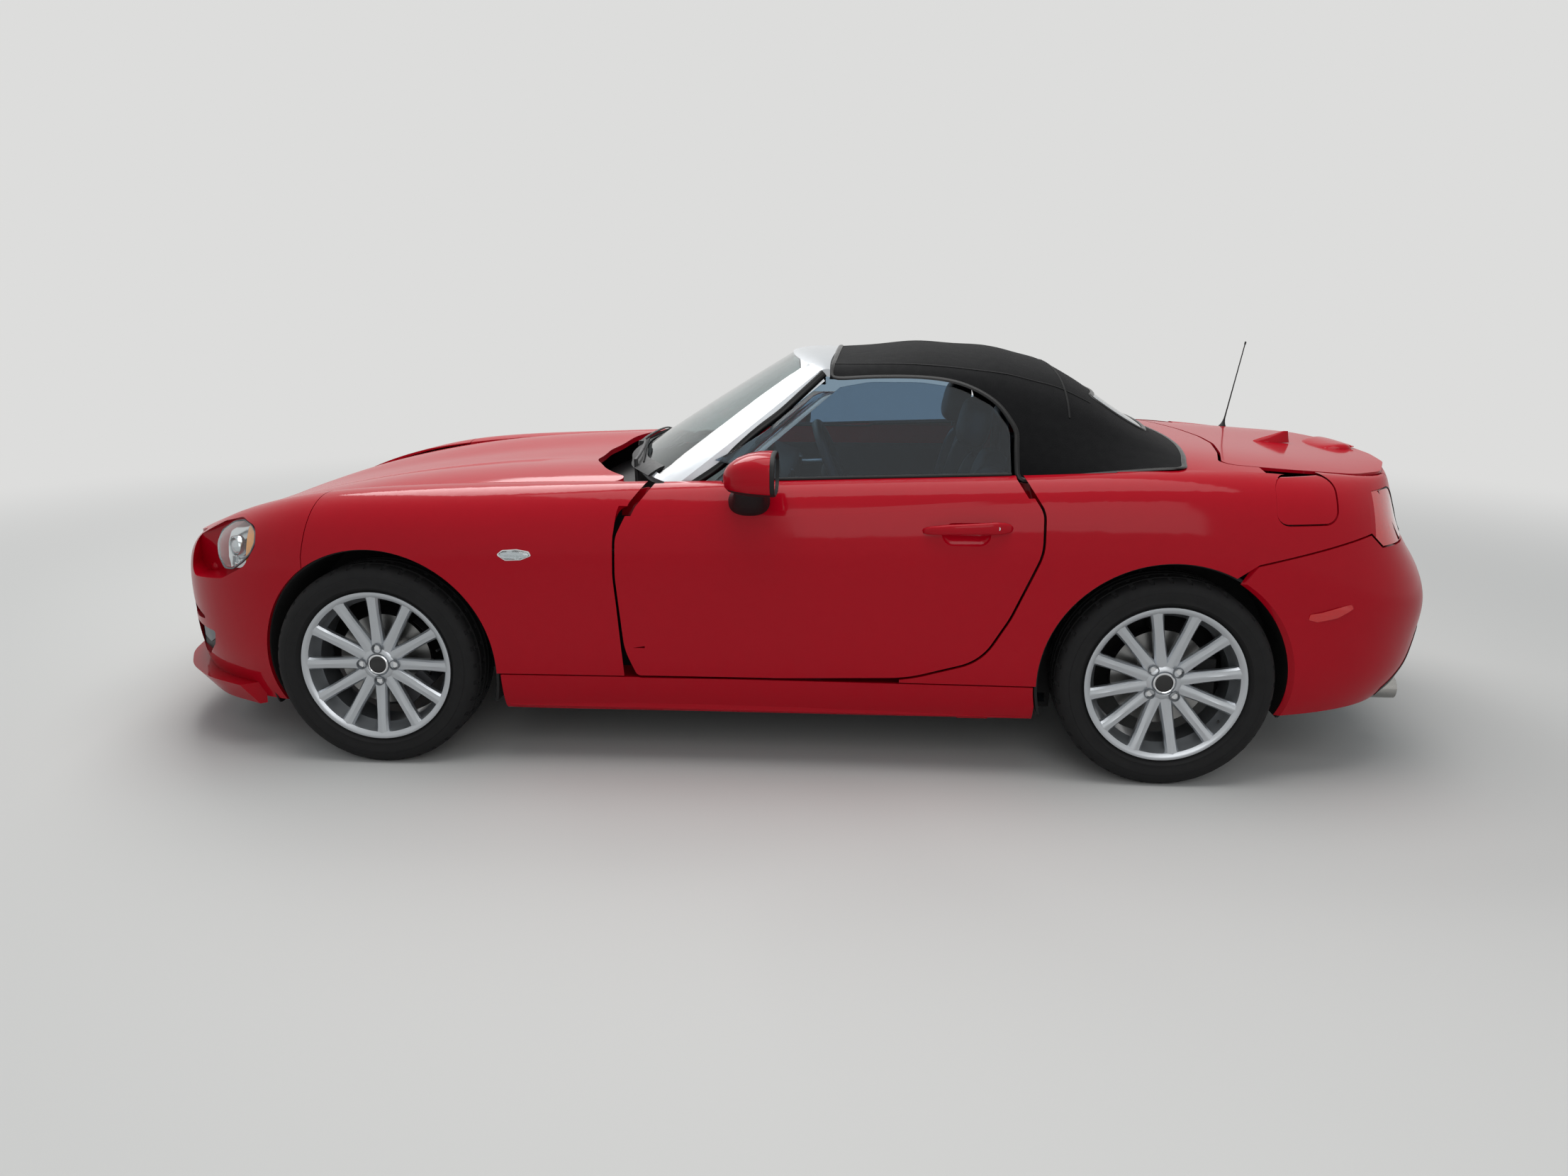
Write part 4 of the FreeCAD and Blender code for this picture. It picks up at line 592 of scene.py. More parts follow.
@dataclass
class RoadWheel:
    """One wheel with its tyre: 205/45 R17 on a 12-spoke rim."""

    corner: str
    x: float
    y: float
    turn: float = 0.0
    axle_z: float = 308.0
    tyre_radius: float = 308.0
    tyre_half: float = 102.5
    rim_radius: float = 216.0
    spokes: int = 12
    lugs: int = 4
    body: str = field(init=False)

    def __post_init__(self) -> None:
        """Name the body that the wheel turns with."""
        self.body = "wheel_" + self.corner

    def settle(self, bm: BMesh) -> None:
        """Carry a wheel drawn about the Y axis, street side at -Y, to its corner."""
        bmesh.ops.rotate(bm, verts=bm.verts[:], cent=(0, 0, 0), matrix=Matrix.Rotation(
            math.radians(self.turn), 3, "Y"))
        if self.y > 0:
            bmesh.ops.scale(bm, vec=(1, -1, 1), verts=bm.verts[:])
        bmesh.ops.translate(bm, vec=mm(self.x, self.y, self.axle_z), verts=bm.verts[:])

    def revolve(self, bm: BMesh, profile: Outline, steps: int,
                closed: bool = True) -> None:
        """Spin a profile of radius and y, in millimetres, about the axle."""
        verts = [bm.verts.new(mm(radius, 0, 0) + Vector((0, y * MM, 0))) for radius, y in profile]
        edges = [bm.edges.new((verts[i], verts[i + 1])) for i in range(len(verts) - 1)]
        if closed:
            edges.append(bm.edges.new((verts[-1], verts[0])))
        bmesh.ops.spin(bm, geom=verts + edges, cent=(0, 0, 0), axis=(0, 1, 0), angle=math.tau, steps=steps,
                       use_merge=True, use_duplicate=False)
        bmesh.ops.remove_doubles(bm, verts=bm.verts[:], dist=TINY)

    def build(self) -> None:
        """Build and dress the tyre, rim, hub and lug nuts."""
        self.tyre()
        self.rim()

    def tyre(self) -> None:
        """Tyre with four rain grooves, sipes on its shoulders and two rings on its wall."""
        half = self.tyre_half
        wall = [(219.4, 83), (229, 84), (234, 90), (240, half - 5.5), (243, half - 2.8), (246, half - 3.6),
                (256, half - 1.2), (268, half), (271, half), (272.5, half - 1.5), (275, half - 1.2),
                (288, half - 4.5), (298, half - 11), (303.5, half - 18), (306, half - 25)]
        tread = [(307.2, 74), (307.4, 61), (300.5, 59), (300.5, 52), (307.8, 50), (308, 21), (300.5, 19),
                 (300.5, 10), (308, 8)]
        upper = wall + tread
        profile = [(r, -y) for r, y in upper] + [(r, y) for r, y in reversed(upper)]
        bm = bmesh.new()
        steps = 144
        self.revolve(bm, profile, steps)
        bmesh.ops.recalc_face_normals(bm, faces=bm.faces[:])
        sipes = []
        for face in bm.faces:
            middle = face.calc_center_median()
            radius = math.hypot(middle.x, middle.z) * 1000
            step = int(round((math.atan2(middle.z, middle.x) / math.tau * steps) - 0.5)) % steps
            across = abs(middle.y) * 1000
            if step % 4 == 0 and radius > 299 and (61 < across < 92 or 22 < across < 49):
                sipes.append(face)
        bmesh.ops.inset_individual(bm, faces=sipes, thickness=0.0022, depth=-0.0035)
        self.settle(bm)
        piece = make_piece("tyre_tread_" + self.corner, bm, [TYRE_RUBBER], self.body, 40)
        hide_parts("tyre_" + self.corner)

    def spoke(self, bm: BMesh, angle: float) -> None:
        """One spoke: a folded blade with a groove along each flank, widening into the rim."""
        rows = [
            # radius, half width at the face, half width of the root, y of the ridge, y of the back
            (40, 15.0, 19.0, -73, -50),
            (70, 14.0, 19.0, -74, -50),
            (110, 13.0, 17.5, -77, -53),
            (160, 12.0, 16.5, -83, -60),
            (200, 12.5, 18.0, -88, -66),
            (219, 15.0, 22.0, -91, -72),
        ]
        sections = []
        for radius, face, root, ridge, back in rows:
            outline = [(-root, back), (-root, ridge + 9), (-face, ridge + 2.0), (-face * 0.35, ridge + 1.2),
                       (0, ridge), (face * 0.35, ridge + 1.2), (face, ridge + 2.0), (root, ridge + 9),
                       (root, back)]
            sections.append([mm(radius, y, z) for z, y in outline])
        verts = loft(bm, sections)
        bmesh.ops.rotate(bm, verts=verts, cent=(0, 0, 0), matrix=Matrix.Rotation(angle, 3, "Y"))

    def rim(self) -> None:
        """Rim barrel with its lip, the spokes, the hub with lug pockets, a blank cap and a valve."""
        bm = bmesh.new()
        self.revolve(bm, [
            (228, -94), (228, -86), (219, -84), (217, -60), (200, -40), (198, 40), (217, 60), (219, 84),
            (228, 86), (228, 94), (216, 94), (211, 60), (192, 42), (192, -40), (203, -58), (207, -76),
            (210, -87), (217, -92.5), (223, -94.5)], 96)
        for index in range(self.spokes):
            self.spoke(bm, math.tau * index / self.spokes)
        self.revolve(bm, [(58, -50), (30, -50), (30, -70), (36, -76), (44, -75), (52, -70), (60, -62)], 48)
        self.settle(bm)
        piece = make_piece("spoked_rim_" + self.corner, bm, [CAST_ALLOY], self.body, 30)
        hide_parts("wheel_" + self.corner)
        bm = bmesh.new()
        self.revolve(bm, [(0.1, -77), (20, -77), (24, -76), (25.5, -73), (25.5, -60), (0.1, -60)], 40, False)
        self.settle(bm)
        make_piece("hub_cap_" + self.corner, bm, [GLOSS_BLACK], self.body, 30)
        bm = bmesh.new()
        self.revolve(bm, [(25.5, -77), (28.5, -78.2), (31, -76.5), (31, -68), (25.5, -68)], 40)
        for index in range(self.lugs):
            angle = math.tau * index / self.lugs
            place = Matrix.Translation(mm(50 * math.cos(angle), -66, 50 * math.sin(angle)))
            turn = place @ Matrix.Rotation(QUARTER, 4, "X")
            bmesh.ops.create_cone(bm, cap_ends=True, segments=6, radius1=9.8 * MM, radius2=9.0 * MM,
                                  depth=15 * MM, matrix=turn)
        self.settle(bm)
        make_piece("lug_nuts_" + self.corner, bm, [BRIGHT_CHROME], self.body, 30)
        bm = bmesh.new()
        for index in range(self.lugs):
            angle = math.tau * index / self.lugs
            centre = mm(50 * math.cos(angle), 0, 50 * math.sin(angle))
            local = bmesh.new()
            self.revolve(local, [(13.0, -79.5), (15.5, -79.5), (15.5, -52), (0.1, -52), (0.1, -56), (13, -56)],
                         20, False)
            bmesh.ops.translate(local, vec=centre, verts=local.verts[:])
            add_mesh(bm, local)
        self.settle(bm)
        # The lug pockets take the darker alloy: painted shade in the recesses
        make_piece("lug_pockets_" + self.corner, bm, [SHADED_ALLOY], self.body, 30)
        bm = bmesh.new()
        sweep(bm, [mm(196, -60, 52), mm(191, -72, 51), mm(186, -84, 50)], 7 * MM, 7 * MM, AFT, 10)
        self.settle(bm)
        make_piece("valve_stem_" + self.corner, bm, [MOULDED_BLACK], self.body, 40)


def along(table: Outline, x: float) -> float:
    """Return the value at x of a table of x and value, straight between rows."""
    if x <= table[0][0]:
        return table[0][1]
    for (x0, y0), (x1, y1) in zip(table, table[1:]):
        if x <= x1:
            return y0 + (y1 - y0) * (x - x0) / (x1 - x0)
    return table[-1][1]


def solve(test: Callable[[float], float], low: float, high: float) -> float:
    """Return where a falling value crosses zero between low and high."""
    if test(high) > 0:
        return high
    for _ in range(30):
        middle = (low + high) / 2
        if test(middle) > 0:
            low = middle
        else:
            high = middle
    return (low + high) / 2


def add_mirror(bm: BMesh) -> None:
    """Add the other half of a mesh, mirrored across the car's middle."""
    made = bmesh.ops.duplicate(bm, geom=bm.verts[:] + bm.edges[:] + bm.faces[:])
    verts = [item for item in made["geom"] if isinstance(item, bmesh.types.BMVert)]
    bmesh.ops.scale(bm, vec=(1, -1, 1), verts=verts)


def to_side(bm: BMesh, side: Side) -> BMesh:
    """Carry a mesh drawn on the left to a side."""
    if side is Side.RIGHT:
        bmesh.ops.scale(bm, vec=(1, -1, 1), verts=bm.verts[:])
    return bm


def add_mesh(bm: BMesh, other: BMesh) -> None:
    """Add another mesh and free it."""
    scratch = bpy.data.meshes.new("scratch")
    other.to_mesh(scratch)
    other.free()
    bm.from_mesh(scratch)
    bpy.data.meshes.remove(scratch)


def laid_panel(bm: BMesh, outline: Outline,
               place: Callable[[float, float], Vector], cell: float, thickness: float) -> None:
    """Lay a thin panel on a surface.

    Args:
        bm: mesh to add to.
        outline: flat outline in the place function's own two numbers.
        place: carries the two numbers to a place in metres.
        cell: largest step between points, in the same numbers.
        thickness: thickness in metres.
    """
    local = bmesh.new()
    local.faces.new([local.verts.new((a, b, 0)) for a, b in outline])
    for axis in (0, 1):
        values = [corner[axis] for corner in outline]
        low, high = min(values), max(values)
        count = max(1, int((high - low) / cell))
        for index in range(1, count):
            spot = [0.0, 0.0, 0.0]
            spot[axis] = low + (high - low) * index / count
            normal = [0.0, 0.0, 0.0]
            normal[axis] = 1.0
            split(local, spot, normal)
    for vert in local.verts:
        vert.co = place(vert.co.x, vert.co.y)
    bmesh.ops.recalc_face_normals(local, faces=local.faces[:])
    out = sum((face.normal * face.calc_area() for face in local.faces), Vector()).normalized()
    made = bmesh.ops.extrude_face_region(local, geom=local.faces[:], use_keep_orig=True)
    moved = [item for item in made["geom"] if isinstance(item, bmesh.types.BMVert)]
    bmesh.ops.translate(local, vec=-out * thickness, verts=moved)
    add_mesh(bm, local)


def loft(bm: BMesh, rings: Sequence[Sequence[Vector]]) -> list[bmesh.types.BMVert]:
    """Bridge closed rings of points into one body with both ends closed.

    Args:
        bm: mesh to add to.
        rings: closed rings in metres with the same number of points.

    Returns:
        The new vertices.
    """
    loops = []
    verts = []
    for ring in rings:
        made = [bm.verts.new(point) for point in ring]
        verts += made
        loops.append([bm.edges.new((made[i - 1], made[i])) for i in range(len(made))])
    for before, after in zip(loops, loops[1:]):
        bmesh.ops.bridge_loops(bm, edges=before + after)
    bmesh.ops.contextual_create(bm, geom=loops[0])
    bmesh.ops.contextual_create(bm, geom=loops[-1])
    return verts


def turned(bm: BMesh, profile: Outline, steps: int, place: Matrix) -> None:
    """Add a body turned about its own Z axis.

    Args:
        bm: mesh to add to.
        profile: rows of radius and height, in millimetres.
        steps: facets round the axis.
        place: turn and place of the body.
    """
    local = bmesh.new()
    verts = [local.verts.new(mm(radius, 0, height)) for radius, height in profile]
    edges = [local.edges.new(pair) for pair in zip(verts, verts[1:])]
    bmesh.ops.spin(local, geom=verts + edges, cent=(0, 0, 0), axis=(0, 0, 1), angle=math.tau, steps=steps,
                   use_merge=True)
    bmesh.ops.remove_doubles(local, verts=local.verts[:], dist=TINY)
    bmesh.ops.transform(local, matrix=place, verts=local.verts[:])
    add_mesh(bm, local)


def split(bm: BMesh, spot: Sequence[float], normal: Sequence[float]) -> None:
    """Cut every face that a plane crosses, and keep both sides."""
    bmesh.ops.bisect_plane(bm, geom=bm.verts[:] + bm.edges[:] + bm.faces[:], dist=TINY, plane_co=spot,
                           plane_no=normal)


def oval(centre: tuple[float, float, float], half_a: float, half_b: float, power: float = 2.6,
         steps: int = 28, turn: Optional[Matrix] = None) -> list[Vector]:
    """Return a superellipse ring in millimetres, lying across X unless turned, as metres."""
    ring = []
    for step in range(steps):
        angle = math.tau * step / steps
        c, s = math.cos(angle), math.sin(angle)
        spot = Vector((0.0, half_a * math.copysign(abs(c) ** (2 / power), c),
                       half_b * math.copysign(abs(s) ** (2 / power), s)))
        if turn is not None:
            spot = turn @ spot
        ring.append((Vector(centre) + spot) * MM)
    return ring


def pillow(bm: BMesh, size: tuple[float, float, float], power: float, place: Matrix,
           channels: Sequence[tuple[int, float, float]] = (), cuts: int = 15) -> None:
    """Add a padded block with crowned faces and sewn channels.

    Args:
        bm: mesh to add to.
        size: full size in millimetres.
        power: how square the block is, 2 for an egg and more for a box.
        place: turn and place of the block.
        channels: rows of axis across the channel, its place from -1 to 1 and its depth in millimetres.
        cuts: cuts along each edge.
    """
    local = bmesh.new()
    bmesh.ops.create_cube(local, size=2.0)
    bmesh.ops.subdivide_edges(local, edges=local.edges[:], cuts=cuts, use_grid_fill=True)
    for vert in local.verts:
        norm = sum(abs(value) ** power for value in vert.co) ** (1 / power)
        spot = vert.co / norm
        crown = 1.0
        for axis, where, depth in channels:
            across = (vert.co[axis] - where) * size[axis] / 2
            crown -= depth / (size[2] / 2) * math.exp(-(across / 7.0) ** 2)
        vert.co = Vector((spot.x * size[0] / 2, spot.y * size[1] / 2, spot.z * size[2] / 2 * crown)) * MM
    bmesh.ops.transform(local, matrix=place, verts=local.verts[:])
    add_mesh(bm, local)


def node_copy(node: str) -> BMesh:
    """Return a merged copy of a CAD node's mesh."""
    bm = bmesh.new()
    bm.from_mesh(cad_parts[node].data)
    bmesh.ops.remove_doubles(bm, verts=bm.verts[:], dist=TINY)
    return bm


# Canvas roof

@dataclass
class CanvasRoof:
    """Closed folding roof: one canvas sheet over its bows, rubber along its edges and welted seams."""

    rows: tuple[tuple[tuple[float, float, float], ...], ...] = (
        ((200, 0, 1213), (198, -200, 1208), (192, -380, 1192), (184, -520, 1165), (176, -612, 1080),
         (166, -694, 920), (166, -722, 840)),
        ((430, 0, 1233), (430, -210, 1227), (430, -400, 1207), (430, -545, 1168), (430, -632, 1085),
         (430, -696, 950), (430, -722, 850)),
        ((640, 0, 1226), (640, -210, 1219), (642, -400, 1194), (645, -545, 1148), (648, -632, 1062),
         (650, -696, 940), (650, -724, 862)),
        ((820, 0, 1194), (820, -210, 1186), (824, -395, 1156), (826, -528, 1102), (826, -618, 1020),
         (824, -692, 930), (822, -726, 876)),
        ((950, 0, 1132), (952, -205, 1124), (956, -390, 1096), (958, -526, 1048), (954, -620, 980),
         (944, -694, 922), (936, -728, 890)),
        ((1070, 0, 1050), (1072, -205, 1044), (1074, -392, 1024), (1072, -535, 990), (1062, -632, 948),
         (1046, -700, 916), (1032, -730, 900)),
        ((1200, 0, 972), (1198, -205, 969), (1192, -400, 960), (1180, -550, 946), (1160, -645, 930),
         (1136, -706, 916), (1120, -732, 908)),
        ((1312, 0, 916), (1306, -205, 916), (1286, -410, 916), (1254, -565, 915), (1222, -655, 913),
         (1190, -712, 911), (1170, -735, 910)))
    window: tuple[tuple[float, float], ...] = (
        (100, 1146), (214, 1143), (300, 1149), (380, 1151), (450, 1150), (510, 1145), (568, 1134),
        (625, 1110), (672, 1080), (705, 1042), (722, 1000))
    glass: tuple[tuple[float, float, float], ...] = (
        (-440, 985, 40), (-400, 1085, 40), (400, 1085, 40), (440, 985, 40))
    pillar_x: float = 724.0
    stations: int = 64
    across: int = 40
    drops: int = 14
    thickness: float = 3.0
    flat: tuple[float, float] = (1.95, 1.42)

    def __post_init__(self) -> None:
        """Gather the surface rows and the deck under the sheet's rear edge."""
        self.lines = [[mm(*point) for point in row] for row in self.rows]
        self.deck = Skin("rear_deck", "rear_quarters", "trunk_lid")

    def spot(self, u: float, v: float) -> Vector:
        """Return the sheet's place for a row number and a column number."""
        return spline([spline(line, v) for line in self.lines], u)

    def end(self, v: float) -> float:
        """Return the row number where a column meets the deck."""
        def above(u: float) -> float:
            point = self.spot(u, v)
            return point.z - self.deck.top(point.x / MM, point.y / MM)[0].z - 0.002
        return solve(above, 5.0, 7.0)

    def edge(self, u: float) -> float:
        """Return the column number where a row meets the side window."""
        def above(v: float) -> float:
            point = self.spot(u, v)
            return point.z - along(self.window, point.x / MM) * MM
        return solve(above, 1.0, 6.0)

    def build(self) -> None:
        """Make the sheet, the rubber along its edges and its seams."""
        jump = solve(lambda u: self.pillar_x * MM - self.spot(u, self.edge(u)).x, 1.0, 5.0)
        waist = self.edge(jump)
        waist_end = self.end(waist)
        first = round(jump / waist_end * self.stations)
        jump = waist_end * first / self.stations
        ends = [self.end(waist * step / self.across) for step in range(self.across + 1)]
        bm = bmesh.new()
        cloth: dict[tuple[int, int, int], Vector] = {}
        upper = bmesh.ops.create_grid(bm, x_segments=self.stations, y_segments=2 * self.across,
                                      size=1.0)["verts"]
        for vert in upper:
            row = round((vert.co.x + 1) / 2 * self.stations)
            column = round(vert.co.y * self.across)
            share = abs(column) / self.across
            u = row / self.stations * ends[abs(column)]
            v = share * (self.edge(u) if row < first else waist)
            vert.co = self.sagged(u, v, share)
            if column > 0:
                vert.co.y = -vert.co.y
        for side in Side:
            lower = bmesh.ops.create_grid(bm, x_segments=self.stations - first, y_segments=self.drops,
                                          size=1.0)["verts"]
            for vert in lower:
                row = first + round((vert.co.x + 1) / 2 * (self.stations - first))
                drop = round((vert.co.y + 1) / 2 * self.drops) / self.drops
                v = waist + (5.97 - waist) * drop
                start = solve(lambda u: self.pillar_x * MM - self.spot(u, v).x, 1.0, 5.0) if drop else jump
                share = (row - first) / (self.stations - first)
                u = start + (self.end(v) - start) * share
                vert.co = self.spot(u, v)
                vert.co.y *= -side.value
        bmesh.ops.remove_doubles(bm, verts=bm.verts[:], dist=0.0004)
        self.cut_glass(bm)
        bmesh.ops.recalc_face_normals(bm, faces=bm.faces[:])
        self.map_cloth(bm)
        area = sum(face.calc_area() for face in bm.faces)
        self.rims(bm)
        bmesh.ops.solidify(bm, geom=bm.faces[:], thickness=self.thickness * MM)
        sheet = make_piece("canvas_roof_sheet", bm, [ROOF_CANVAS], "body", 50, recalc=False)
        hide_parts("soft_top")
        LOG.info("canvas area %.4f m2", area)
        self.seams()

    def sagged(self, u: float, v: float, share: float) -> Vector:
        """Return the sheet's place, let down a little between the bows."""
        point = self.spot(u, v)
        bows = (0.0, 1.15, 2.3, 3.4)
        for before, after in zip(bows, bows[1:]):
            if before < u < after:
                dip = math.sin(math.pi * (u - before) / (after - before)) ** 2
                point.z -= 0.0045 * dip * max(0.0, 1 - (share / 0.85) ** 4)
        return point

    def cut_glass(self, bm: BMesh) -> None:
        """Cut the rear window out along its four straight edges."""
        (y0, z0, _), (y1, z1, _) = self.glass[0], self.glass[1]
        planes = [((0, 0, z0), (0, 0, 1)), ((0, 0, z1), (0, 0, 1))]
        lean = Vector((0, z1 - z0, -(y1 - y0))).normalized()
        planes += [((0, y0, z0), lean), ((0, -y0, z0), Vector((0, -lean.y, lean.z)))]
        for spot, normal in planes:
            faces = [face for face in bm.faces if face.calc_center_median().x > 0.93
                     and 0.95 < face.calc_center_median().z < 1.12 and abs(face.calc_center_median().y) < 0.5]
            geom = list({item for face in faces for item in (*face.verts, *face.edges, face)})
            bmesh.ops.bisect_plane(bm, geom=geom, dist=TINY, plane_co=Vector(spot) * MM, plane_no=normal)
        inside = []
        for face in bm.faces:
            middle = face.calc_center_median()
            half = abs(y0) + (middle.z / MM - z0) * (abs(y1) - abs(y0)) / (z1 - z0)
            if middle.x > 0.93 and z0 < middle.z / MM < z1 and abs(middle.y) / MM < half:
                inside.append(face)
        bmesh.ops.delete(bm, geom=inside, context="FACES")

    def map_cloth(self, bm: BMesh) -> None:
        """Give the sheet a map in metres for its threads."""
        layer = bm.loops.layers.uv.new("cloth")
        for face in bm.faces:
            for loop in face.loops:
                spot = loop.vert.co
                loop[layer].uv = (spot.x - max(0.0, 1.1 - spot.z) * 0.4,
                                  spot.y + math.copysign(max(0.0, 1.15 - spot.z) * 0.8, spot.y))

    def rims(self, bm: BMesh) -> None:
        """Lay rubber over every free edge of the sheet."""
        rubber = bmesh.new()
        for loop in self.free_loops(bm):
            points = [vert.co.copy() for vert in loop]
            ups = [vert.normal.copy() for vert in loop]
            points, ups = self.even(points, ups, 0.018)
            sweep(rubber, [point + up * 0.001 for point, up in zip(points, ups)], 0.016, 0.007, UP,
                  8, closed=True, ups=ups)
        make_piece("roof_edge_rubber", rubber, [GLOSS_RUBBER], "body", 60)

    def free_loops(self, bm: BMesh) -> list[list[bmesh.types.BMVert]]:
        """Return the sheet's free edges as loops of vertices."""
        left = {edge for edge in bm.edges if len(edge.link_faces) == 1}
        loops = []
        while left:
            edge = next(iter(left))
            left.discard(edge)
            loop = [edge.verts[0], edge.verts[1]]
            while True:
                ahead = [e for e in loop[-1].link_edges if e in left]
                if not ahead:
                    break
                left.discard(ahead[0])
                loop.append(ahead[0].other_vert(loop[-1]))
            if loop[0] is loop[-1]:
                loop.pop()
            if len(loop) > 12:
                loops.append(loop)
        return loops

    def even(self, points: Sequence[Vector], ups: Sequence[Vector],
             step: float) -> tuple[list[Vector], list[Vector]]:
        """Return a closed path with even spacing, and its normals."""
        count = len(points)
        lengths = [(points[(i + 1) % count] - points[i]).length for i in range(count)]
        total = sum(lengths)
        wanted = max(8, int(total / step))
        result, normals = [], []
        index, used = 0, 0.0
        for number in range(wanted):
            target = total * number / wanted
            while used + lengths[index] < target and index < count - 1:
                used += lengths[index]
                index += 1
            share = (target - used) / lengths[index] if lengths[index] else 0.0
            result.append(points[index].lerp(points[(index + 1) % count], share))
            normals.append(ups[index].lerp(ups[(index + 1) % count], share).normalized())
        for _ in range(2):
            result = [(result[i - 1] + result[i] * 2 + result[(i + 1) % wanted]) / 4 for i in range(wanted)]
        return result, normals

    def seams(self) -> None:
        """Welted seams along both shoulders and over the rear bow."""
        bm = bmesh.new()
        for side in Side:
            path, ups = [], []
            for step in range(60):
                u = 0.03 + 4.0 * step / 59
                v = 2.55 + 0.35 * math.sin(min(u, 3.0) / 3.0 * math.pi) * 0.5
                point = self.sagged(u, v, v / self.edge(min(u, 2.4)))
                ahead = self.spot(u + 0.05, v) - self.spot(u, v)
                over = self.spot(u, v + 0.05) - self.spot(u, v)
                normal = over.cross(ahead).normalized()
                normal = normal if normal.z > 0 else -normal
                point.y *= -side.value
                normal.y *= -side.value
                path.append(point + normal * 0.0008)
                ups.append(normal)
            sweep(bm, path, 0.007, 0.0035, UP, 6, ups=ups)
        path, ups = [], []
        for step in range(-40, 41):
            v = abs(step) / 40 * 3.6
            point = self.spot(3.42, v)
            if step > 0:
                point.y = -point.y
            path.append(point + Vector((0.3, 0, 0.95)) * 0.0008)
            ups.append(Vector((0.3, 0.2 * (1 if step > 0 else -1) * (v > 2.4), 0.95)).normalized())
        sweep(bm, path, 0.007, 0.0035, UP, 6, ups=ups)
        make_piece("canvas_welts", bm, [ROOF_TAPE], "body", 60)


# Seats

@dataclass
class Seat:
    """One bucket seat: sewn cushion, back with bolsters and head restraint, on a plinth."""

    side: Side
    y: float = 385.0

    def build(self) -> None:
        """Build the padded pieces and the plinth."""
        word = self.side.word
        sign = self.side.value
        pieces = {
            # lean in degrees, then rows of size, squareness, x, offset in y, z and the channels
            "cushion": (-4, [((430, 300, 120), 4.5, 385, 0, 352, [(0, -0.45, 7), (0, 0.0, 7), (0, 0.45, 7)]),
                             ((440, 70, 130), 3.6, 385, -165, 362, []),
                             ((440, 70, 130), 3.6, 385, 165, 362, [])]),
            "back": (-77, [((560, 280, 110), 4.0, 634, 0, 640, [(0, -0.5, 7), (0, -0.1, 7), (0, 0.3, 7)]),
                           ((500, 72, 135), 3.6, 618, -165, 640, []),
                           ((500, 72, 135), 3.6, 618, 165, 640, [])]),
            "head_restraint": (-77, [((150, 240, 95), 3.2, 628, 0, 1000, [])]),
        }
        for name, (lean, blocks) in pieces.items():
            bm = bmesh.new()
            for size, power, x, off, z, channels in blocks:
                place = Matrix.Translation(mm(x, self.y * sign + off, z))
                pillow(bm, size, power, place @ Matrix.Rotation(math.radians(lean), 4, "Y"), channels)
            piece = make_piece(f"seat_{name}_{word}", bm, [SEAT_LEATHER], "body", 70)
            if name == "cushion":
                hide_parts("seats")
        bm = bmesh.new()
        outline = rounded_outline([(190, 168, 8), (600, 168, 8), (610, 300, 30), (170, 300, 30)], 4)
        outline_slab(bm, [mm(x, (self.y - 175) * sign, z) for x, z in outline], mm(0, 350 * sign, 0), 0.006)
        for y in (self.y * sign - 60, self.y * sign + 60):
            sweep(bm, [mm(621.6, y, 900), mm(630, y, 960)], 0.012, 0.012, AFT, 10)
        make_piece(f"seat_plinth_{word}", bm, [MOULDED_BLACK], "body", 40)


# Lamps

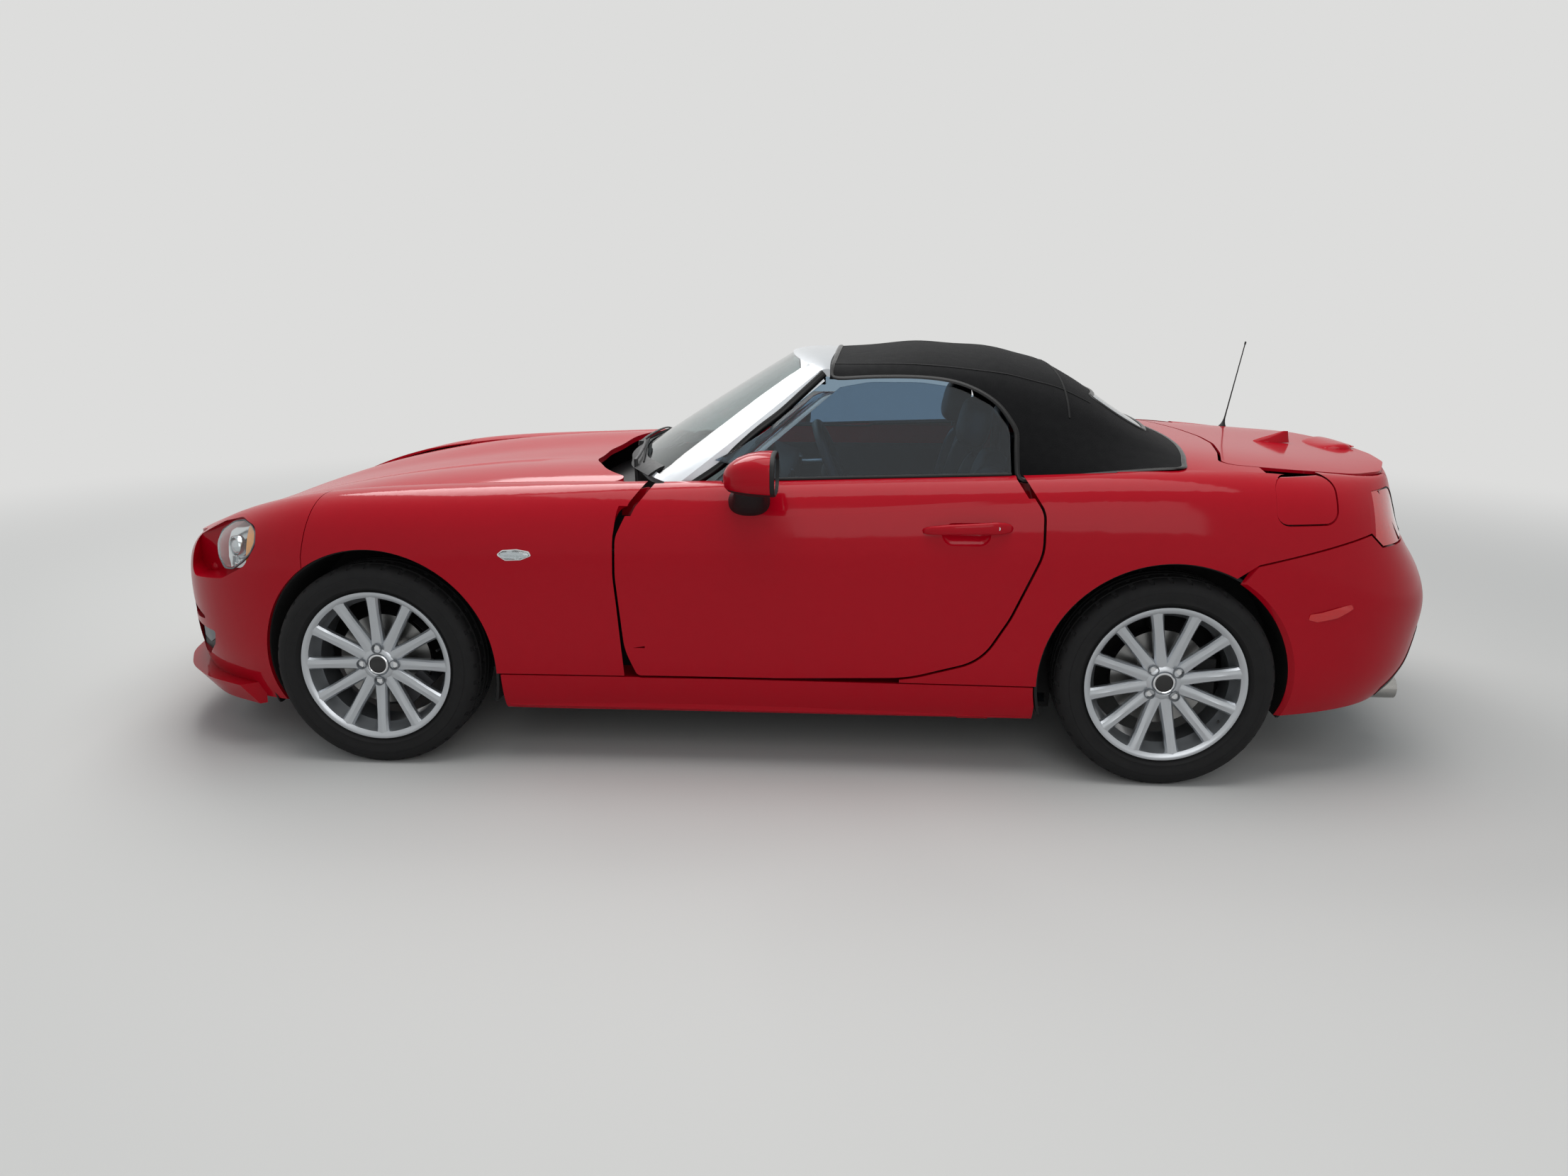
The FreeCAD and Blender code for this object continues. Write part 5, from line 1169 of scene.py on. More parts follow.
@dataclass
class HeadLamp:
    """Headlamp: clear dome, mirrored bowl, amber turn light and a projector, drawn on the left."""

    side: Side
    outline: tuple[tuple[float, float, float], ...] = (
        (-1688, 647, 12), (-1687, 678, 14), (-1645, 706, 40), (-1597, 717, 60), (-1549, 710, 30),
        (-1526, 694, 14), (-1524, 664, 20), (-1539, 634, 40), (-1574, 604, 60), (-1613, 580, 30),
        (-1648, 577, 20), (-1674, 608, 40))
    centre: tuple[float, float] = (-1622, 648)
    half: tuple[float, float] = (84, 68)
    facing: tuple[float, float, float] = (-0.42, -0.85, 0.2)

    def build(self) -> None:
        """Build the lamp's shells in order from the back."""
        skin = Skin("headlamps")
        contour = rounded_outline(self.outline, 4)
        out = Vector(self.facing).normalized()

        def place(depth: float, dome: float) -> Callable[[float, float], Vector]:
            """Return a function that lays a point on the lamp, sunk by depth and domed."""
            def laid(x: float, z: float) -> Vector:
                spot = self.carried(skin, x, z)
                reach = math.hypot((x - self.centre[0]) / self.half[0], (z - self.centre[1]) / self.half[1])
                return spot + out * (dome * max(0.0, 1 - reach * reach) - depth) * MM
            return laid

        bm = bmesh.new()
        laid_panel(bm, contour, place(2.0, 9.0), 12, 0.002)
        lens = self.put("lens", bm, CLEAR_LENS)
        if self.side is Side.LEFT:
            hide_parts("headlamps")
        bm = bmesh.new()
        laid_panel(bm, self.shrunk(contour, 0.97, None, -1566), place(26.0, -20.0), 9, 0.002)
        self.put("reflector", bm, LAMP_MIRROR)
        bm = bmesh.new()
        laid_panel(bm, self.shrunk(contour, 0.97, -1563, None), place(9.0, -4.0), 9, 0.003)
        self.put("amber", bm, AMBER_LENS)
        bm = bmesh.new()
        spot = place(30.0, 0.0)(self.centre[0] - 8, self.centre[1] - 4)
        away = Vector((-0.55, -0.83, 0.02)).normalized()
        frame_here = basis(spot, away, UP)
        for profile in ([(33, -12), (33, 8), (30, 12), (27, 10), (27, -12)],
                        [(26, -2), (23, 6), (15, 12), (6, 15), (0.5, 16)]):
            turned(bm, profile, 36, frame_here)
        self.put("projector", bm, BRIGHT_CHROME, 40)
        bm = bmesh.new()
        rim = [place(3.0, 0.0)(x, z) for x, z in contour]
        sweep(bm, rim, 0.006, 0.008, UP, 8, closed=True, ups=[out] * len(rim))
        # The bezel takes the darker alloy, which is painted shade
        self.put("bezel", bm, SHADED_ALLOY)

    def put(self, name: str, bm: BMesh, finish: Finish, angle: float = 60) -> bpy.types.Object:
        """Turn a mesh drawn on the left into a piece of this lamp."""
        return make_piece(f"headlamp_{name}_{self.side.word}", to_side(bm, self.side), [finish], "body",
                          angle)

    def carried(self, skin: Skin, x: float, z: float) -> Vector:
        """Return the lamp's surface at x and z, carried on straight where a place lies past its edge."""
        def met(share: float) -> Optional[tuple[Vector, Vector]]:
            """Return where the flank's ray meets the lamp, a share of the way out from the centre."""
            across, height = self.toward(x, z, share)
            return skin.hit(mm(across, -1400, height), Vector((0, 1, 0)))

        share, found = 1.0, met(1.0)
        if found is not None:
            return found[0]
        while found is None and share > 0.3:
            share -= 0.04
            found = met(share)
        slope = (found[0].y - met(share - 0.2)[0].y) / 0.2
        return Vector((x * MM, found[0].y + slope * (1 - share), z * MM))

    def toward(self, x: float, z: float, share: float) -> tuple[float, float]:
        """Return the place a share of the way from the lamp's centre to x and z."""
        return self.centre[0] + (x - self.centre[0]) * share, self.centre[1] + (z - self.centre[1]) * share

    def shrunk(self, contour: Outline, share: float, low: Optional[float],
               high: Optional[float]) -> list[tuple[float, float]]:
        """Return the outline drawn in, and kept between two x limits."""
        result = []
        for x, z in contour:
            x, z = self.toward(x, z, share)
            x = max(x, low) if low is not None else x
            x = min(x, high) if high is not None else x
            if not result or math.hypot(x - result[-1][0], z - result[-1][1]) > 0.8:
                result.append((x, z))
        return result


@dataclass
class SmallLights:
    """Side repeaters, rear side markers and the lenses of the tail lamps."""

    def build(self) -> None:
        """Build the small lights on both sides."""
        flank = Skin("front_wings", "rear_quarters", "rear_bumper", "front_bumper")
        for side in Side:
            self.blister(flank, f"side_repeater_{side.word}", side, [
                (-758, 660, 6), (-742, 671, 10), (-700, 674, 20), (-668, 668, 8), (-662, 658, 4),
                (-690, 648, 20), (-735, 646, 14)], 7.0, CLEAR_LENS)
            self.blister(flank, f"repeater_base_{side.word}", side, [
                (-761, 660, 6), (-743, 674, 10), (-700, 677, 20), (-665, 671, 8), (-659, 658, 4),
                (-690, 645, 20), (-736, 643, 14)], 0.6, LAMP_MIRROR)
            self.blister(flank, f"rear_marker_{side.word}", side, [
                (1529, 508, 4), (1556, 501, 10), (1612, 512, 10), (1656, 536, 4), (1650, 549, 6),
                (1610, 541, 20), (1560, 528, 20), (1532, 524, 6)], 2.5, RED_LENS)
        self.tail_lenses()

    def blister(self, skin: Skin, name: str, side: Side, outline: Corners,
                rise: float, finish: Finish) -> None:
        """Lay a domed lens on the flank."""
        contour = rounded_outline(outline, 4)
        xs, zs = [p[0] for p in contour], [p[1] for p in contour]
        middle = ((min(xs) + max(xs)) / 2, (min(zs) + max(zs)) / 2)
        half = ((max(xs) - min(xs)) / 2, (max(zs) - min(zs)) / 2)

        def place(x: float, z: float) -> Vector:
            """Lay a point on the flank and raise it towards the middle."""
            reach = min(1.0, math.hypot((x - middle[0]) / half[0], (z - middle[1]) / half[1]))
            spot, normal = skin.side(x, z, Side.LEFT)
            return spot + normal * (0.3 + rise * math.sqrt(1 - reach * reach)) * MM

        bm = bmesh.new()
        laid_panel(bm, contour, place, 7, 0.0012)
        make_piece(name, to_side(bm, side), [finish], "body", 60)

    def tail_lenses(self) -> None:
        """Split each tail lamp into its red wedge, its clear half and a dark reversing light."""
        bm = node_copy("tail_lamps")
        for y in (742, 704, 648):
            for sign in (-1, 1):
                split(bm, mm(0, sign * y, 0), (0.34 * sign, 1, 0.1 * sign))
        for z in (752, 808):
            split(bm, mm(0, 0, z), (0, 0, 1))
        for face in bm.faces:
            spot = face.calc_center_median() / MM
            across = abs(spot.y) + 0.34 * spot.x + 0.1 * spot.z
            face.material_index = 0 if across > 742 else 1
            if 648 < across < 704 and 752 < spot.z < 808:
                face.material_index = 2
        piece = make_piece("tail_lens_shells", bm, [RED_LENS, SMOKED_LENS, GLOSS_BLACK], "body", 35,
                           recalc=False)
        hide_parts("tail_lamps")
        rim = bmesh.new()
        skin = Skin("tail_lamps")
        contour = rounded_outline([(-556, 722, 20), (-790, 690, 30), (-806, 770, 40), (-742, 846, 30),
                                   (-596, 850, 30)], 6)
        path, ups = [], []
        for index, (y, z) in enumerate(contour):
            after = contour[(index + 1) % len(contour)]
            for share in (0.0, 0.5):
                a = y + (after[0] - y) * share
                b = z + (after[1] - z) * share
                inner = (a + 690) * 0.985 - 690, (b - 772) * 0.975 + 772
                found = skin.hit(mm(2300, inner[0], inner[1]), AHEAD)
                if found is not None:
                    path.append(found[0] + found[1] * 0.0008)
                    ups.append(found[1])
        if len(path) > 8:
            sweep(rim, path, 0.005, 0.003, UP, 6, closed=True, ups=ups)
            add_mirror(rim)
            on_body("tail_lamp_rims", rim, SEAL_RUBBER, 60)
        else:
            rim.free()


# Doors

@dataclass
class DoorTrim:
    """Outer and inner trim of one door: handle, belt seals, window corner, mirror and card."""

    side: Side

    def build(self) -> None:
        """Build everything that swings with the door."""
        self.body = "door_" + self.side.word
        self.skin = Skin("door_left")
        self.handle()
        self.belts()
        self.sail()
        self.front_edge()
        self.mirror()
        self.card()

    def put(self, name: str, bm: BMesh, finish: Finish, slot: str, angle: float = 40) -> None:
        """Carry a mesh to this door."""
        make_piece(f"{name}_{self.side.word}", to_side(bm, self.side), [finish], self.body, angle)

    def handle(self) -> None:
        """Pull handle in body colour, with its lock part, lock barrel and request button."""
        rows = [
            # x, z, stand-off of the middle, half height, half depth
            (453, 746, 1, 5, 3), (462, 748, 8, 9, 6), (480, 751, 17, 12, 8), (520, 755, 25, 14, 9),
            (570, 758, 29, 15, 9), (620, 760, 27, 16, 9), (655, 761, 22, 17, 9), (680, 760, 14, 15, 8),
            (696, 758, 6, 11, 5), (703, 757, 1, 5, 2)]
        bm = bmesh.new()
        rings = []
        for x, z, off, half, deep in rows:
            base, _ = self.skin.side(x, 790, Side.LEFT)
            rings.append(oval((x, base.y / MM - (790 - z) * 0.12 - off, z), deep, half, 2.8, 24))
        loft(bm, rings)
        self.put("door_handle", bm, BODY_ENAMEL, "body_paint", 50)
        bm = bmesh.new()
        x, z, off, half, deep = 640, 760.5, 24.5, 17.0, 9.4
        base, _ = self.skin.side(x, 790, Side.LEFT)
        loft(bm, [oval((x - 0.8, base.y / MM - off, z), deep, half, 2.8, 24),
                  oval((x + 0.8, base.y / MM - off, z), deep, half, 2.8, 24)])
        self.put("handle_joint", bm, SEAL_RUBBER, "black_plastic", 50)
        for name, x, z, off, radius, finish in (("lock_barrel", 660, 761, 31, 6.5, BRIGHT_CHROME),
                                                ("request_button", 622, 762, 36, 4.0, SEAL_RUBBER)):
            bm = bmesh.new()
            base, _ = self.skin.side(x, 790, Side.LEFT)
            place = Matrix.Translation(Vector((x * MM, base.y - (off - 1) * MM, z * MM)))
            bmesh.ops.create_cone(bm, cap_ends=True, segments=24, radius1=radius * MM,
                                  radius2=radius * 0.85 * MM, depth=4 * MM,
                                  matrix=place @ Matrix.Rotation(QUARTER, 4, "X"))
            self.put(name, bm, finish, "silver_frame")

    def belts(self) -> None:
        """Outer and inner rubber lips along the foot of the window."""
        bm = bmesh.new()
        for y, wide, high in ((-752, 14, 13), (-731, 10, 10)):
            path = []
            for step in range(40):
                x = -118 + (704 + 118) * step / 39
                spot, _ = self.skin.top(x, y)
                if spot.z > 0.80:
                    path.append(spot + Vector((0, 0, 0.003)))
            sweep(bm, path, wide * MM, high * MM, UP, 8)
        self.put("window_belt_seals", bm, SEAL_RUBBER, "black_plastic", 50)

    def sail(self) -> None:
        """Black panel in the window's front corner."""
        bm = bmesh.new()
        outline = rounded_outline([(-128, 846, 4), (0, 850, 6), (-4, 938, 8), (-22, 941, 6)], 3)
        corners = [mm(x, -742 + (z - 852) * 0.5 - 3.0, z) for x, z in outline]
        outline_slab(bm, corners, mm(0, -4, 2), 0.0012)
        self.put("sail_panel", bm, MOULDED_BLACK, "black_plastic")

    def front_edge(self) -> None:
        """Front edge of the pane, carried on to the seal of the screen pillar."""
        pillar = Skin("windshield_frame")
        heights = [846 + 12 * step for step in range(23)]
        edge = [(-131.5 + (z - 838) * 1.2183, z) for z in heights]
        ahead = []
        for x, z in edge:
            found = pillar.hit(mm(x + 60, -742 + (z - 852) * 0.5 + 26, z), AHEAD)
            ahead.append((min(found[0].x / MM + 6 if found is not None else x - 40, x - 4), z))
        bm = bmesh.new()
        corners = [mm(x, -742 + (z - 852) * 0.5, z) for x, z in edge + ahead[::-1]]
        outline_slab(bm, corners, mm(0, 5, 0), 0.0004)
        self.put("window_front_edge", bm, WINDOW_GLASS, "window_glass")

    def mirror(self) -> None:
        """Outside mirror: painted cap, black lower shell and rim, glass and the foot."""
        rows = [
            # x, y of the middle, z of the middle, half across, half height
            (-95, -905, 896, 20, 12), (-90, -908, 897, 38, 25), (-78, -912, 900, 56, 37),
            (-56, -917, 905, 72, 48), (-28, -921, 909, 84, 55), (4, -924, 912, 91, 59),
            (30, -925, 912.5, 94, 60), (40, -925, 912.5, 94, 59.5)]
        bm = bmesh.new()
        loft(bm, [oval((x, y, z), half, high, 2.9, 36) for x, y, z, half, high in rows])
        split(bm, mm(0, -925, 868), (0.06, 0, 1))
        for face in bm.faces:
            spot = face.calc_center_median() / MM
            face.material_index = 1 if spot.z + 0.06 * spot.x < 868 else 0
        piece = make_piece(f"mirror_cap_{self.side.word}", to_side(bm, self.side), [BODY_ENAMEL, MOULDED_BLACK],
                           self.body, 40)
        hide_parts("mirror_" + self.side.word)
        bm = bmesh.new()
        outer = [oval((x, -925, 912.5), half, high, 2.9, 36) for x, half, high in (
            (40.5, 94, 59.5), (47, 94.5, 60), (52, 93, 58), (52.5, 89, 54), (46, 87, 52))]
        loft(bm, outer)
        self.put("mirror_rim", bm, MOULDED_BLACK, "black_plastic")
        bm = bmesh.new()
        loft(bm, [oval((x, -925, 912.5), half, high, 2.9, 36) for x, half, high in (
            (46.3, 86, 51), (47.5, 85.5, 50.5), (47.8, 83, 49))])
        self.put("mirror_glass", bm, MIRROR_GLASS, "window_glass")
        bm = bmesh.new()
        loft(bm, [oval((x, y, z), half, high, 2.4, 32, Matrix.Rotation(QUARTER, 3, "Z"))
                  for y, x, z, half, high in (
                      (-770, -34, 812, 66, 40), (-800, -34, 812, 64, 42), (-830, -33, 816, 58, 42),
                      (-858, -31, 826, 50, 36), (-885, -28, 842, 44, 22), (-905, -26, 852, 42, 10),
                      (-915, -26, 858, 40, 3))])
        self.put("mirror_foot", bm, MOULDED_BLACK, "black_plastic", 50)

    def card(self) -> None:
        """Inner door card with an armrest and a pull."""
        bm = bmesh.new()
        outline = rounded_outline(
            [(-300, 330, 40), (560, 330, 60), (680, 520, 60), (690, 800, 30), (-280, 800, 60)], 5)
        outline_slab(bm, [mm(x, -712, z) for x, z in outline], mm(0, 12, 0), 0.004)
        self.put("door_card", bm, DASH_SKIN, "black_plastic")
        bm = bmesh.new()
        loft(bm, [oval((x, y, z), half, high, 3.5, 24) for x, y, z, half, high in (
            (-60, -690, 602, 8, 20), (-40, -684, 604, 20, 26), (120, -676, 606, 28, 28),
            (420, -676, 600, 28, 28), (520, -684, 590, 20, 26), (540, -690, 588, 8, 20))])
        self.put("door_armrest", bm, SEAT_LEATHER, "seat_fabric", 60)
        bm = bmesh.new()
        sweep(bm, smooth_path([mm(-10, -702, 720), mm(30, -680, 724), mm(120, -676, 728),
                               mm(160, -702, 730)], 8), 0.016, 0.02, UP, 10)
        self.put("door_pull", bm, CAST_ALLOY, "silver_frame")


# Screen surround

@dataclass
class ScreenTrim:
    """Rubber behind the screen pillars, strip at its foot, door jambs, wipers and the inside mirror."""

    pillar: tuple[tuple[float, float], ...] = (
        (846, -708), (900, -690), (945, -676), (1000, -655), (1050, -632), (1110, -606), (1160, -582))

    def build(self) -> None:
        """Build the trim round the screen."""
        self.pillar_rubber()
        self.foot_strip()
        self.jambs()
        self.wipers()
        self.inside_mirror()

    def pillar_rubber(self) -> None:
        """Door glass seal down the rear of each pillar."""
        skin = Skin("windshield_frame")
        bm = bmesh.new()
        path = []
        for z, y in self.pillar:
            found = skin.hit(mm(600, y + 8, z), AHEAD)
            if found is not None:
                path.append(found[0] + Vector((0.005, 0, 0)))
        path = smooth_path(path, 6)
        sweep(bm, path, 0.024, 0.016, Vector((0.8, -0.5, 0.6)), 10)
        add_mirror(bm)
        on_body("pillar_rubbers", bm, GLOSS_RUBBER, 60)

    def jambs(self) -> None:
        """Painted door jambs, which show through the seams at the door's two upper corners."""
        bm = bmesh.new()
        for y, outline in ((-716, [(735, 738, 4), (800, 735, 4), (795, 868, 6), (733, 866, 6)]),
                           (-699, [(-478, 690, 4), (-405, 690, 4), (-335, 838, 6), (-478, 800, 6)])):
            outline_slab(bm, [mm(x, y, z) for x, z in rounded_outline(outline, 3)], mm(0, 1.5, 0), 0.0004)
        add_mirror(bm)
        make_piece("door_jambs", bm, [BODY_ENAMEL], "body", 40)

    def foot_strip(self) -> None:
        """Black moulding over the foot of the surround, between the pillars."""
        skin = Skin("windshield_frame")
        rows = [(-330, -575), (-372, -500), (-412, -400), (-440, -300), (-462, -200), (-474, -100), (-478, 0)]
        path, ups = [], []
        for x, y in rows + [(x, -y) for x, y in reversed(rows[:-1])]:
            spot, normal = skin.top(x, y)
            path.append(spot + normal * 0.002)
            ups.append(normal)
        bm = bmesh.new()
        sweep(bm, smooth_path(path, 4), 0.062, 0.009, Vector((-0.5, 0, 0.85)), 10)
        on_body("screen_foot_strip", bm, MOULDED_BLACK, 60)

    def wipers(self) -> None:
        """Two parked wipers with arms, blades and pivot caps."""
        skin = Skin("windshield", "windshield_frame", "cowl", "hood", "front_wings")

        def over(start: tuple[float, float], end: tuple[float, float], steps: int, bow: float,
                 lift: Callable[[float], float]) -> list[Vector]:
            """Lay a path over the screen, bowed aft and lifted off it."""
            path = []
            for share in (step / steps for step in range(steps + 1)):
                ahead = start[0] + (end[0] - start[0]) * share + bow * math.sin(math.pi * share)
                spot, normal = skin.top(ahead, start[1] + (end[1] - start[1]) * share)
                path.append(spot + normal * lift(share))
            return path

        bm = bmesh.new()
        for pivot, tip, start, end in (
                ((-424, -500), (-452, -110), (-398, -452), (-470, 40)),
                ((-486, -40), (-430, 330), (-478, -10), (-392, 440))):
            sweep(bm, over(pivot, tip, 12, 20, lambda share: 0.022 if share > 0.1 else 0.016), 0.014, 0.008,
                  UP, 8, taper=lambda t: 1.0 - 0.4 * t)
            sweep(bm, over(start, end, 16, 0, lambda share: 0.010), 0.009, 0.016, UP, 8,
                  taper=lambda t: 0.5 + 0.5 * math.sin(math.pi * min(1.0, max(0.0, t))) ** 0.5)
            spot, _ = skin.top(pivot[0], pivot[1])
            bmesh.ops.create_cone(bm, cap_ends=True, segments=24, radius1=0.015, radius2=0.012, depth=0.016,
                                  matrix=Matrix.Translation(spot + Vector((0, 0, 0.012))))
        on_body("wipers", bm, MOULDED_BLACK)

    def inside_mirror(self) -> None:
        """Mirror on its stalk behind the top of the screen."""
        bm = bmesh.new()
        loft(bm, [oval((x, 0, 1118), half, high, 3.0, 32) for x, half, high in (
            (128, 96, 22), (136, 110, 29), (150, 112, 30), (153, 110, 28))])
        sweep(bm, [mm(134, 0, 1130), mm(120, 0, 1160), mm(104, 0, 1184)], 0.016, 0.016, AFT, 10)
        on_body("inside_mirror_shell", bm, MOULDED_BLACK, 50)
        bm = bmesh.new()
        loft(bm, [oval((x, 0, 1118), half, high, 3.0, 32)
                  for x, half, high in ((153.2, 106, 25), (154.2, 105, 24))])
        make_piece("inside_mirror_glass", bm, [MIRROR_GLASS], "body", 50)


# Cabin

@dataclass
class Cabin:
    """Dials, vents, console, levers, carpets, roll hoops and the steering wheel."""

    def build(self) -> None:
        """Build the cabin's fittings."""
        self.dash()
        self.console()
        self.carpet()
        self.hoops()
        self.wheel_rim()

    def dash(self) -> None:
        """Instrument hood, screen and round vents on the dashboard."""
        skin = Skin("dashboard")
        top, _ = skin.top(-60, -370)
        bm = bmesh.new()
        height = top.z / MM
        loft(bm, [oval((x, -370, height + lift), half, high, 2.6, 32) for x, lift, half, high in (
            (-180, 2, 120, 12), (-120, 14, 165, 34), (-40, 24, 176, 46), (6, 26, 176, 46))])
        on_body("dial_hood", bm, DASH_SKIN, 50)
        bm = bmesh.new()
        for y, radius in ((-440, 44), (-370, 56), (-300, 44)):
            turned(bm, [(radius, -6), (radius, 2), (radius - 3, 4), (radius - 6, 1), (radius - 7, -2),
                        (0.5, -2)], 40,
                   Matrix.Translation(mm(9, y, height + 14)) @ Matrix.Rotation(QUARTER, 4, "Y"))
        make_piece("dial_rings", bm, [BRIGHT_CHROME], "body", 40)
        bm = bmesh.new()
        rear = skin.hit(mm(700, 0, 730), AHEAD)
        face_x = rear[0].x / MM if rear is not None else 33
        for y in (-600, -150, 150, 600):
            found = skin.hit(mm(700, y, 730), AHEAD)
            x = found[0].x / MM if found is not None else face_x
            place = Matrix.Translation(mm(x + 3, y, 730)) @ Matrix.Rotation(QUARTER, 4, "Y")
            bmesh.ops.create_cone(bm, cap_ends=True, segments=32, radius1=0.042, radius2=0.038, depth=0.012,
                                  matrix=place)
        on_body("dash_vents", bm, GLOSS_BLACK)
        bm = bmesh.new()
        outline = rounded_outline([(-86, 800, 10), (86, 800, 10), (86, 905, 14), (-86, 905, 14)], 4)
        outline_slab(bm, [mm(-20 - (z - 800) * 0.15, y, z) for y, z in outline], mm(-12, 0, 0), 0.003)
        on_body("dash_screen", bm, GLOSS_BLACK)

    def console(self) -> None:
        """Centre console, gear lever and hand brake."""
        bm = bmesh.new()
        rows = [(30, 470, 92, 120), (60, 440, 95, 130), (260, 400, 92, 110), (420, 392, 90, 100),
                (600, 410, 96, 116), (690, 430, 100, 130)]
        loft(bm, [oval((x, 0, z - high / 2 + 10), half, high / 2 + 40, 5.0, 32) for x, z, half, high in rows])
        on_body("centre_console", bm, DASH_SKIN, 50)
        bm = bmesh.new()
        loft(bm, [oval((180 + lift * 0.1, 0, 440 + lift), half, half, 2.4, 24, Matrix.Rotation(QUARTER, 3, "Y"))
                  for lift, half in ((-10, 46), (6, 40), (24, 24), (44, 13), (70, 9), (96, 9), (104, 18),
                                     (118, 24), (134, 22), (142, 12))])
        make_piece("gear_lever", bm, [SEAT_LEATHER], "body", 60)
        bm = bmesh.new()
        sweep(bm, smooth_path([mm(430, -72, 452), mm(360, -72, 470), mm(290, -72, 492), mm(250, -72, 500)], 6),
              0.026, 0.03, UP, 12)
        make_piece("hand_brake", bm, [SEAT_LEATHER], "body", 60)

    def carpet(self) -> None:
        """Carpet over the floor of both footwells."""
        skin = Skin("underbody", "firewall")
        bm = bmesh.new()

        def place(x: float, y: float) -> Vector:
            """Lay a point just over the floor."""
            found = skin.hit(mm(x, y, 330), DOWN)
            height = found[0].z if found is not None else 0.17
            return Vector((x * MM, y * MM, height + 0.004))

        for low, high in ((-600, -170), (170, 600)):
            outline = rounded_outline([(-470, low, 30), (140, low, 30), (140, high, 30), (-470, high, 30)], 3)
            laid_panel(bm, outline, place, 60, 0.003)
        make_piece("footwell_carpets", bm, [FLOOR_CARPET], "body", 60)

    def hoops(self) -> None:
        """Roll hoop behind each seat, with its trim panel."""
        bm = bmesh.new()
        for side in Side:
            y = 385 * side.value
            path = smooth_path([mm(x, y + off, z) for x, off, z in (
                (806, -170, 640), (800, -168, 820), (794, -120, 938), (792, 0, 962), (794, 120, 938),
                (800, 168, 820), (806, 170, 640))], 8)
            sweep(bm, path, 0.044, 0.036, AFT, 14)
            outline = rounded_outline([
                (y - 150, 660, 10), (y + 150, 660, 10), (y + 150, 820, 60), (y + 90, 915, 60),
                (y - 90, 915, 60), (y - 150, 820, 60)], 4)
            outline_slab(bm, [mm(806, a, z) for a, z in outline], mm(8, 0, 0), 0.002)
        on_body("roll_hoops", bm, MOULDED_BLACK, 50)

    def wheel_rim(self) -> None:
        """Stitched leather rim, three spokes and a plain pad of the steering wheel."""
        axis = Vector((0.92, 0, 0.39)).normalized()
        place = basis(mm(205, -370, 828), axis, UP)
        bm = bmesh.new()
        ring = [Vector((0.175 * math.cos(math.tau * i / 60), 0.175 * math.sin(math.tau * i / 60), 0))
                for i in range(60)]
        sweep(bm, ring, 0.027, 0.030, UP, 14, closed=True)
        bmesh.ops.transform(bm, matrix=place, verts=bm.verts[:])
        rim = make_piece("wheel_rim", bm, [SEAT_LEATHER], "steering_wheel", 70)
        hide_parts("steering_wheel")
        bm = bmesh.new()
        for angle in (0, 180, 270):
            turn = Matrix.Rotation(math.radians(angle), 4, "Z")
            local = bmesh.new()
            sweep(local, [Vector((0.03, 0, -0.012)), Vector((0.09, 0, -0.008)), Vector((0.168, 0, 0))],
                  0.034, 0.012, UP, 12, taper=lambda t: 1.0 - 0.3 * t)
            bmesh.ops.transform(local, matrix=place @ turn, verts=local.verts[:])
            add_mesh(bm, local)
        make_piece("wheel_spokes", bm, [CAST_ALLOY], "steering_wheel", 50)
        bm = bmesh.new()
        rings = []
        for height, half in ((-46, 30), (-36, 44), (-14, 66), (2, 68), (10, 60), (14, 40)):
            rings.append([place @ (Vector((half * math.cos(math.tau * i / 36) * 1.08,
                                           half * math.sin(math.tau * i / 36), height)) * MM)
                          for i in range(36)])
        loft(bm, rings)
        make_piece("wheel_pad", bm, [DASH_SKIN], "steering_wheel", 50)


# Nose and tail

@dataclass
class Nose:
    """Washer caps, dark walls and lamp inserts in the corner inlets, and the arch flaps."""

    def build(self) -> None:
        """Build the nose pieces."""
        front = Skin("front_bumper", "front_wings")
        bm = bmesh.new()
        spot, normal = front.side(-1786, 535, Side.LEFT)
        turned(bm, [(17, -1), (16.5, 2), (14, 5), (9, 7.2), (4, 8.2), (0.4, 8.4)], 28, basis(spot, normal, UP))
        add_mirror(bm)
        make_piece("washer_caps", bm, [BODY_ENAMEL], "body", 60)
        self.inlets(front)
        self.flaps()

    def inlets(self, front: Skin) -> None:
        """Dark back walls in the corner inlets, with a grey lamp insert in the lower one."""
        bm = bmesh.new()
        for outline in (((-1912, 440), (-1748, 396), (-1912, 366)),
                        ((-1898, 368), (-1720, 368), (-1734, 310), (-1800, 254), (-1898, 254))):
            outline_slab(bm, [mm(x, -466 - (x + 1912) * 1.04, z) for x, z in outline], mm(4, 8, 0))
        add_mirror(bm)
        on_body("inlet_back_walls", bm, MOULDED_BLACK)
        bm = bmesh.new()
        contour = rounded_outline([(-1850, 352, 6), (-1752, 352, 6), (-1760, 324, 6), (-1800, 300, 6),
                                   (-1846, 306, 6)], 3)
        outline_slab(bm, [mm(x, -486 - (x + 1912) * 1.04, z) for x, z in contour], mm(3, 7, 0), 0.0015)
        add_mirror(bm)
        # The inserts take the darker alloy, which is painted shade
        make_piece("inlet_lamp_inserts", bm, [SHADED_ALLOY], "body", 40)

    def flaps(self) -> None:
        """Black air flap ahead of each front wheel."""
        bm = bmesh.new()
        outline = rounded_outline([(-760, 224, 4), (-600, 224, 4), (-606, 158, 8), (-748, 150, 12)], 3)
        outline_slab(bm, [mm(-1534 + (224 - z) * 0.25, y, z) for y, z in outline], mm(6, 0, 0), 0.0015)
        add_mirror(bm)
        on_body("arch_flaps", bm, MOULDED_BLACK)


